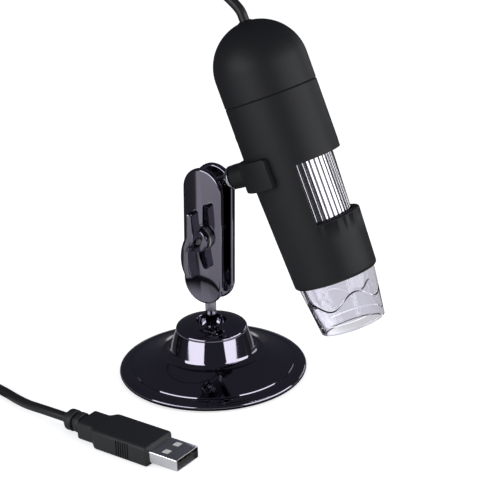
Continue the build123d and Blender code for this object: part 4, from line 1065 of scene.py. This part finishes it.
studio = {
    "floorSize": 4.0, "floorColor": (0.86, 0.86, 0.87), "paintedReflectionDark": (0.035, 0.034, 0.04),
    "floorCamera": 0.6, "world": (0.93, 0.95, 1.0), "worldLevel": 0.42,
    "sky": (0.93, 0.95, 1.2), "skyLevel": 0.055,
    # painted dark reflections: parts of the floor darkened, which only the gloss shows: metres at the start
    # and end of each soft edge
    "mirrorFoot": (0.319, 0.395), "plateFace": -0.00465,    # the camera's foot, mirrored in the front plate
    "front": (-0.045, -0.06), "leftBand": (-0.0036, -0.0046), "leftShade": 0.95,
    "rightBand": (0.0049, 0.0055), "rightShade": 0.15,
    "behindX": (0.035, 0.045), "behindY": (0.015, 0.025), "behindStart": (0.055, 0.07),
    "distance": (0.10, 0.16), "back": (0.02, 0.04), "backReach": (0.049, 0.063), "farShade": 0.92,
    "rimShade": (0.046, 0.039), "awayWay": (0.6, 0.8), "backWay": (-0.62, 0.78), "aim": (0.02, 0, 0.06),
    "boxes": {
        # name: azimuth from the camera's own, height, distance, width, tall, radiance
        "leftBox": (-50, 0.29, 0.95, 0.97, 0.484, 3.3),
        "rightBox": (70, 0.298, 1.0, 1.40, 0.488, 3.3),
        "lowBox": (135, 0.13, 1.0, 0.45, 0.24, 1.3),
    },
}


# painted dark reflections: how far the floor turns to the painted reflection dark for glossy rays, in bands
# mirrored in the front plate, behind the object and round the foot
def floorShade(tree, s):
    split = add(tree, "ShaderNodeSeparateXYZ", {0: add(tree, "ShaderNodeNewGeometry").outputs["Position"]})
    x, y = split.outputs[0], split.outputs[1]

    def times(one, other):
        return calc(tree, "MULTIPLY", one, other)

    def along(way):    # how far a place lies in a level direction
        return calc(tree, "MULTIPLY_ADD", x, way[0], times(y, way[1]))

    footX, footY = s["mirrorFoot"]
    reach = calc(tree, "DIVIDE", footY - s["plateFace"], calc(tree, "SUBTRACT", footY, y))
    plateX = calc(tree, "MULTIPLY_ADD", calc(tree, "SUBTRACT", x, footX), reach, footX)
    left = times(ramp(tree, plateX, *s["leftBand"]), s["leftShade"])
    right = times(ramp(tree, plateX, *s["rightBand"]), s["rightShade"])
    ahead = times(ramp(tree, y, *s["front"]), calc(tree, "ADD", left, right))
    away = along(s["awayWay"])
    behind = times(ramp(tree, x, *s["behindX"]), ramp(tree, y, *s["behindY"]))
    behind = times(behind, ramp(tree, away, *s["behindStart"]))
    behind = calc(tree, "MAXIMUM", behind, times(ramp(tree, away, *s["distance"]), s["farShade"]))
    apart = calc(tree, "SQRT", calc(tree, "MULTIPLY_ADD", x, x, times(y, y)))
    far = times(ramp(tree, along(s["backWay"]), *s["back"]), ramp(tree, apart, *s["backReach"]))
    behind = calc(tree, "MAXIMUM", behind, times(far, s["farShade"]))
    under = ramp(tree, apart, *s["rimShade"])
    every = calc(tree, "MINIMUM", calc(tree, "ADD", under, calc(tree, "ADD", ahead, behind)), 1.0)
    return times(every, add(tree, "ShaderNodeLightPath").outputs["Is Glossy Ray"])


def directView(tree):    # 1 for rays straight from the camera or through glass
    path = add(tree, "ShaderNodeLightPath").outputs
    return calc(tree, "MAXIMUM", path["Is Camera Ray"], path["Is Transmission Ray"])


def makeStage(s):
    bm = bmesh.new()
    half = s["floorSize"] / 2
    bm.faces.new([bm.verts.new((x * half, y * half, 0)) for x, y in ((-1, -1), (1, -1), (1, 1), (-1, 1))])
    mesh = bpy.data.meshes.new("paleFloor")
    bm.to_mesh(mesh)
    bm.free()
    material = bpy.data.materials.new("paleFloor")
    material.use_nodes = True
    tree = material.node_tree
    # the floor's colour, mixed towards the painted reflection dark where only glossy rays see it
    shade = add(tree, "ShaderNodeMix", {
        "A": (*s["floorColor"], 1), "B": (*s["paintedReflectionDark"], 1), "Factor": floorShade(tree, s),
    }, data_type="RGBA")
    feed(tree, tree.nodes["Principled BSDF"], {
        "Base Color": shade.outputs["Result"], "Roughness": 0.9, "Specular IOR Level": 0.1,
        "Emission Color": (1, 1, 1, 1),
        "Emission Strength": calc(tree, "MULTIPLY", directView(tree), s["floorCamera"]),
    })
    mesh.materials.append(material)
    addObject("paleFloor", mesh)


def makeWorld(s):
    world = bpy.data.worlds.new("studioWorld")
    bpy.context.scene.world = world
    world.use_nodes = True
    tree = world.node_tree
    tree.nodes.clear()
    soft, mirror, white = (
        add(tree, "ShaderNodeBackground", {"Color": (*color, 1), "Strength": level})
        for color, level in ((s["world"], s["worldLevel"]), (s["sky"], s["skyLevel"]), ((1, 1, 1), 1.0))
    )
    glossyRay = add(tree, "ShaderNodeLightPath").outputs["Is Glossy Ray"]
    glossy = add(tree, "ShaderNodeMixShader", {0: glossyRay, 1: soft, 2: mirror})
    final = add(tree, "ShaderNodeMixShader", {0: directView(tree), 1: glossy, 2: white})
    add(tree, "ShaderNodeOutputWorld", {0: final})


def makeBoxes(s):
    aim = Vector(s["aim"])
    for name, (azimuth, height, distance, width, tall, radiance) in s["boxes"].items():
        angle = radians(azimuth)
        side = cameraRight * sin(angle) - cameraAway * cos(angle)
        spot = aim + side * distance + Vector((0, 0, height))
        data = bpy.data.lights.new(name, "AREA")
        data.shape = "RECTANGLE"
        data.size = width
        data.size_y = tall
        data.energy = radiance * pi * width * tall
        lamp = addObject(name, data)
        facing = (spot - aim).to_track_quat("Z", "Y").to_matrix().to_4x4()
        lamp.matrix_world = Matrix.Translation(spot) @ facing


makeStage(studio)
makeWorld(studio)
makeBoxes(studio)
bpy.context.scene.view_settings.view_transform = "Standard"
print("studio done")
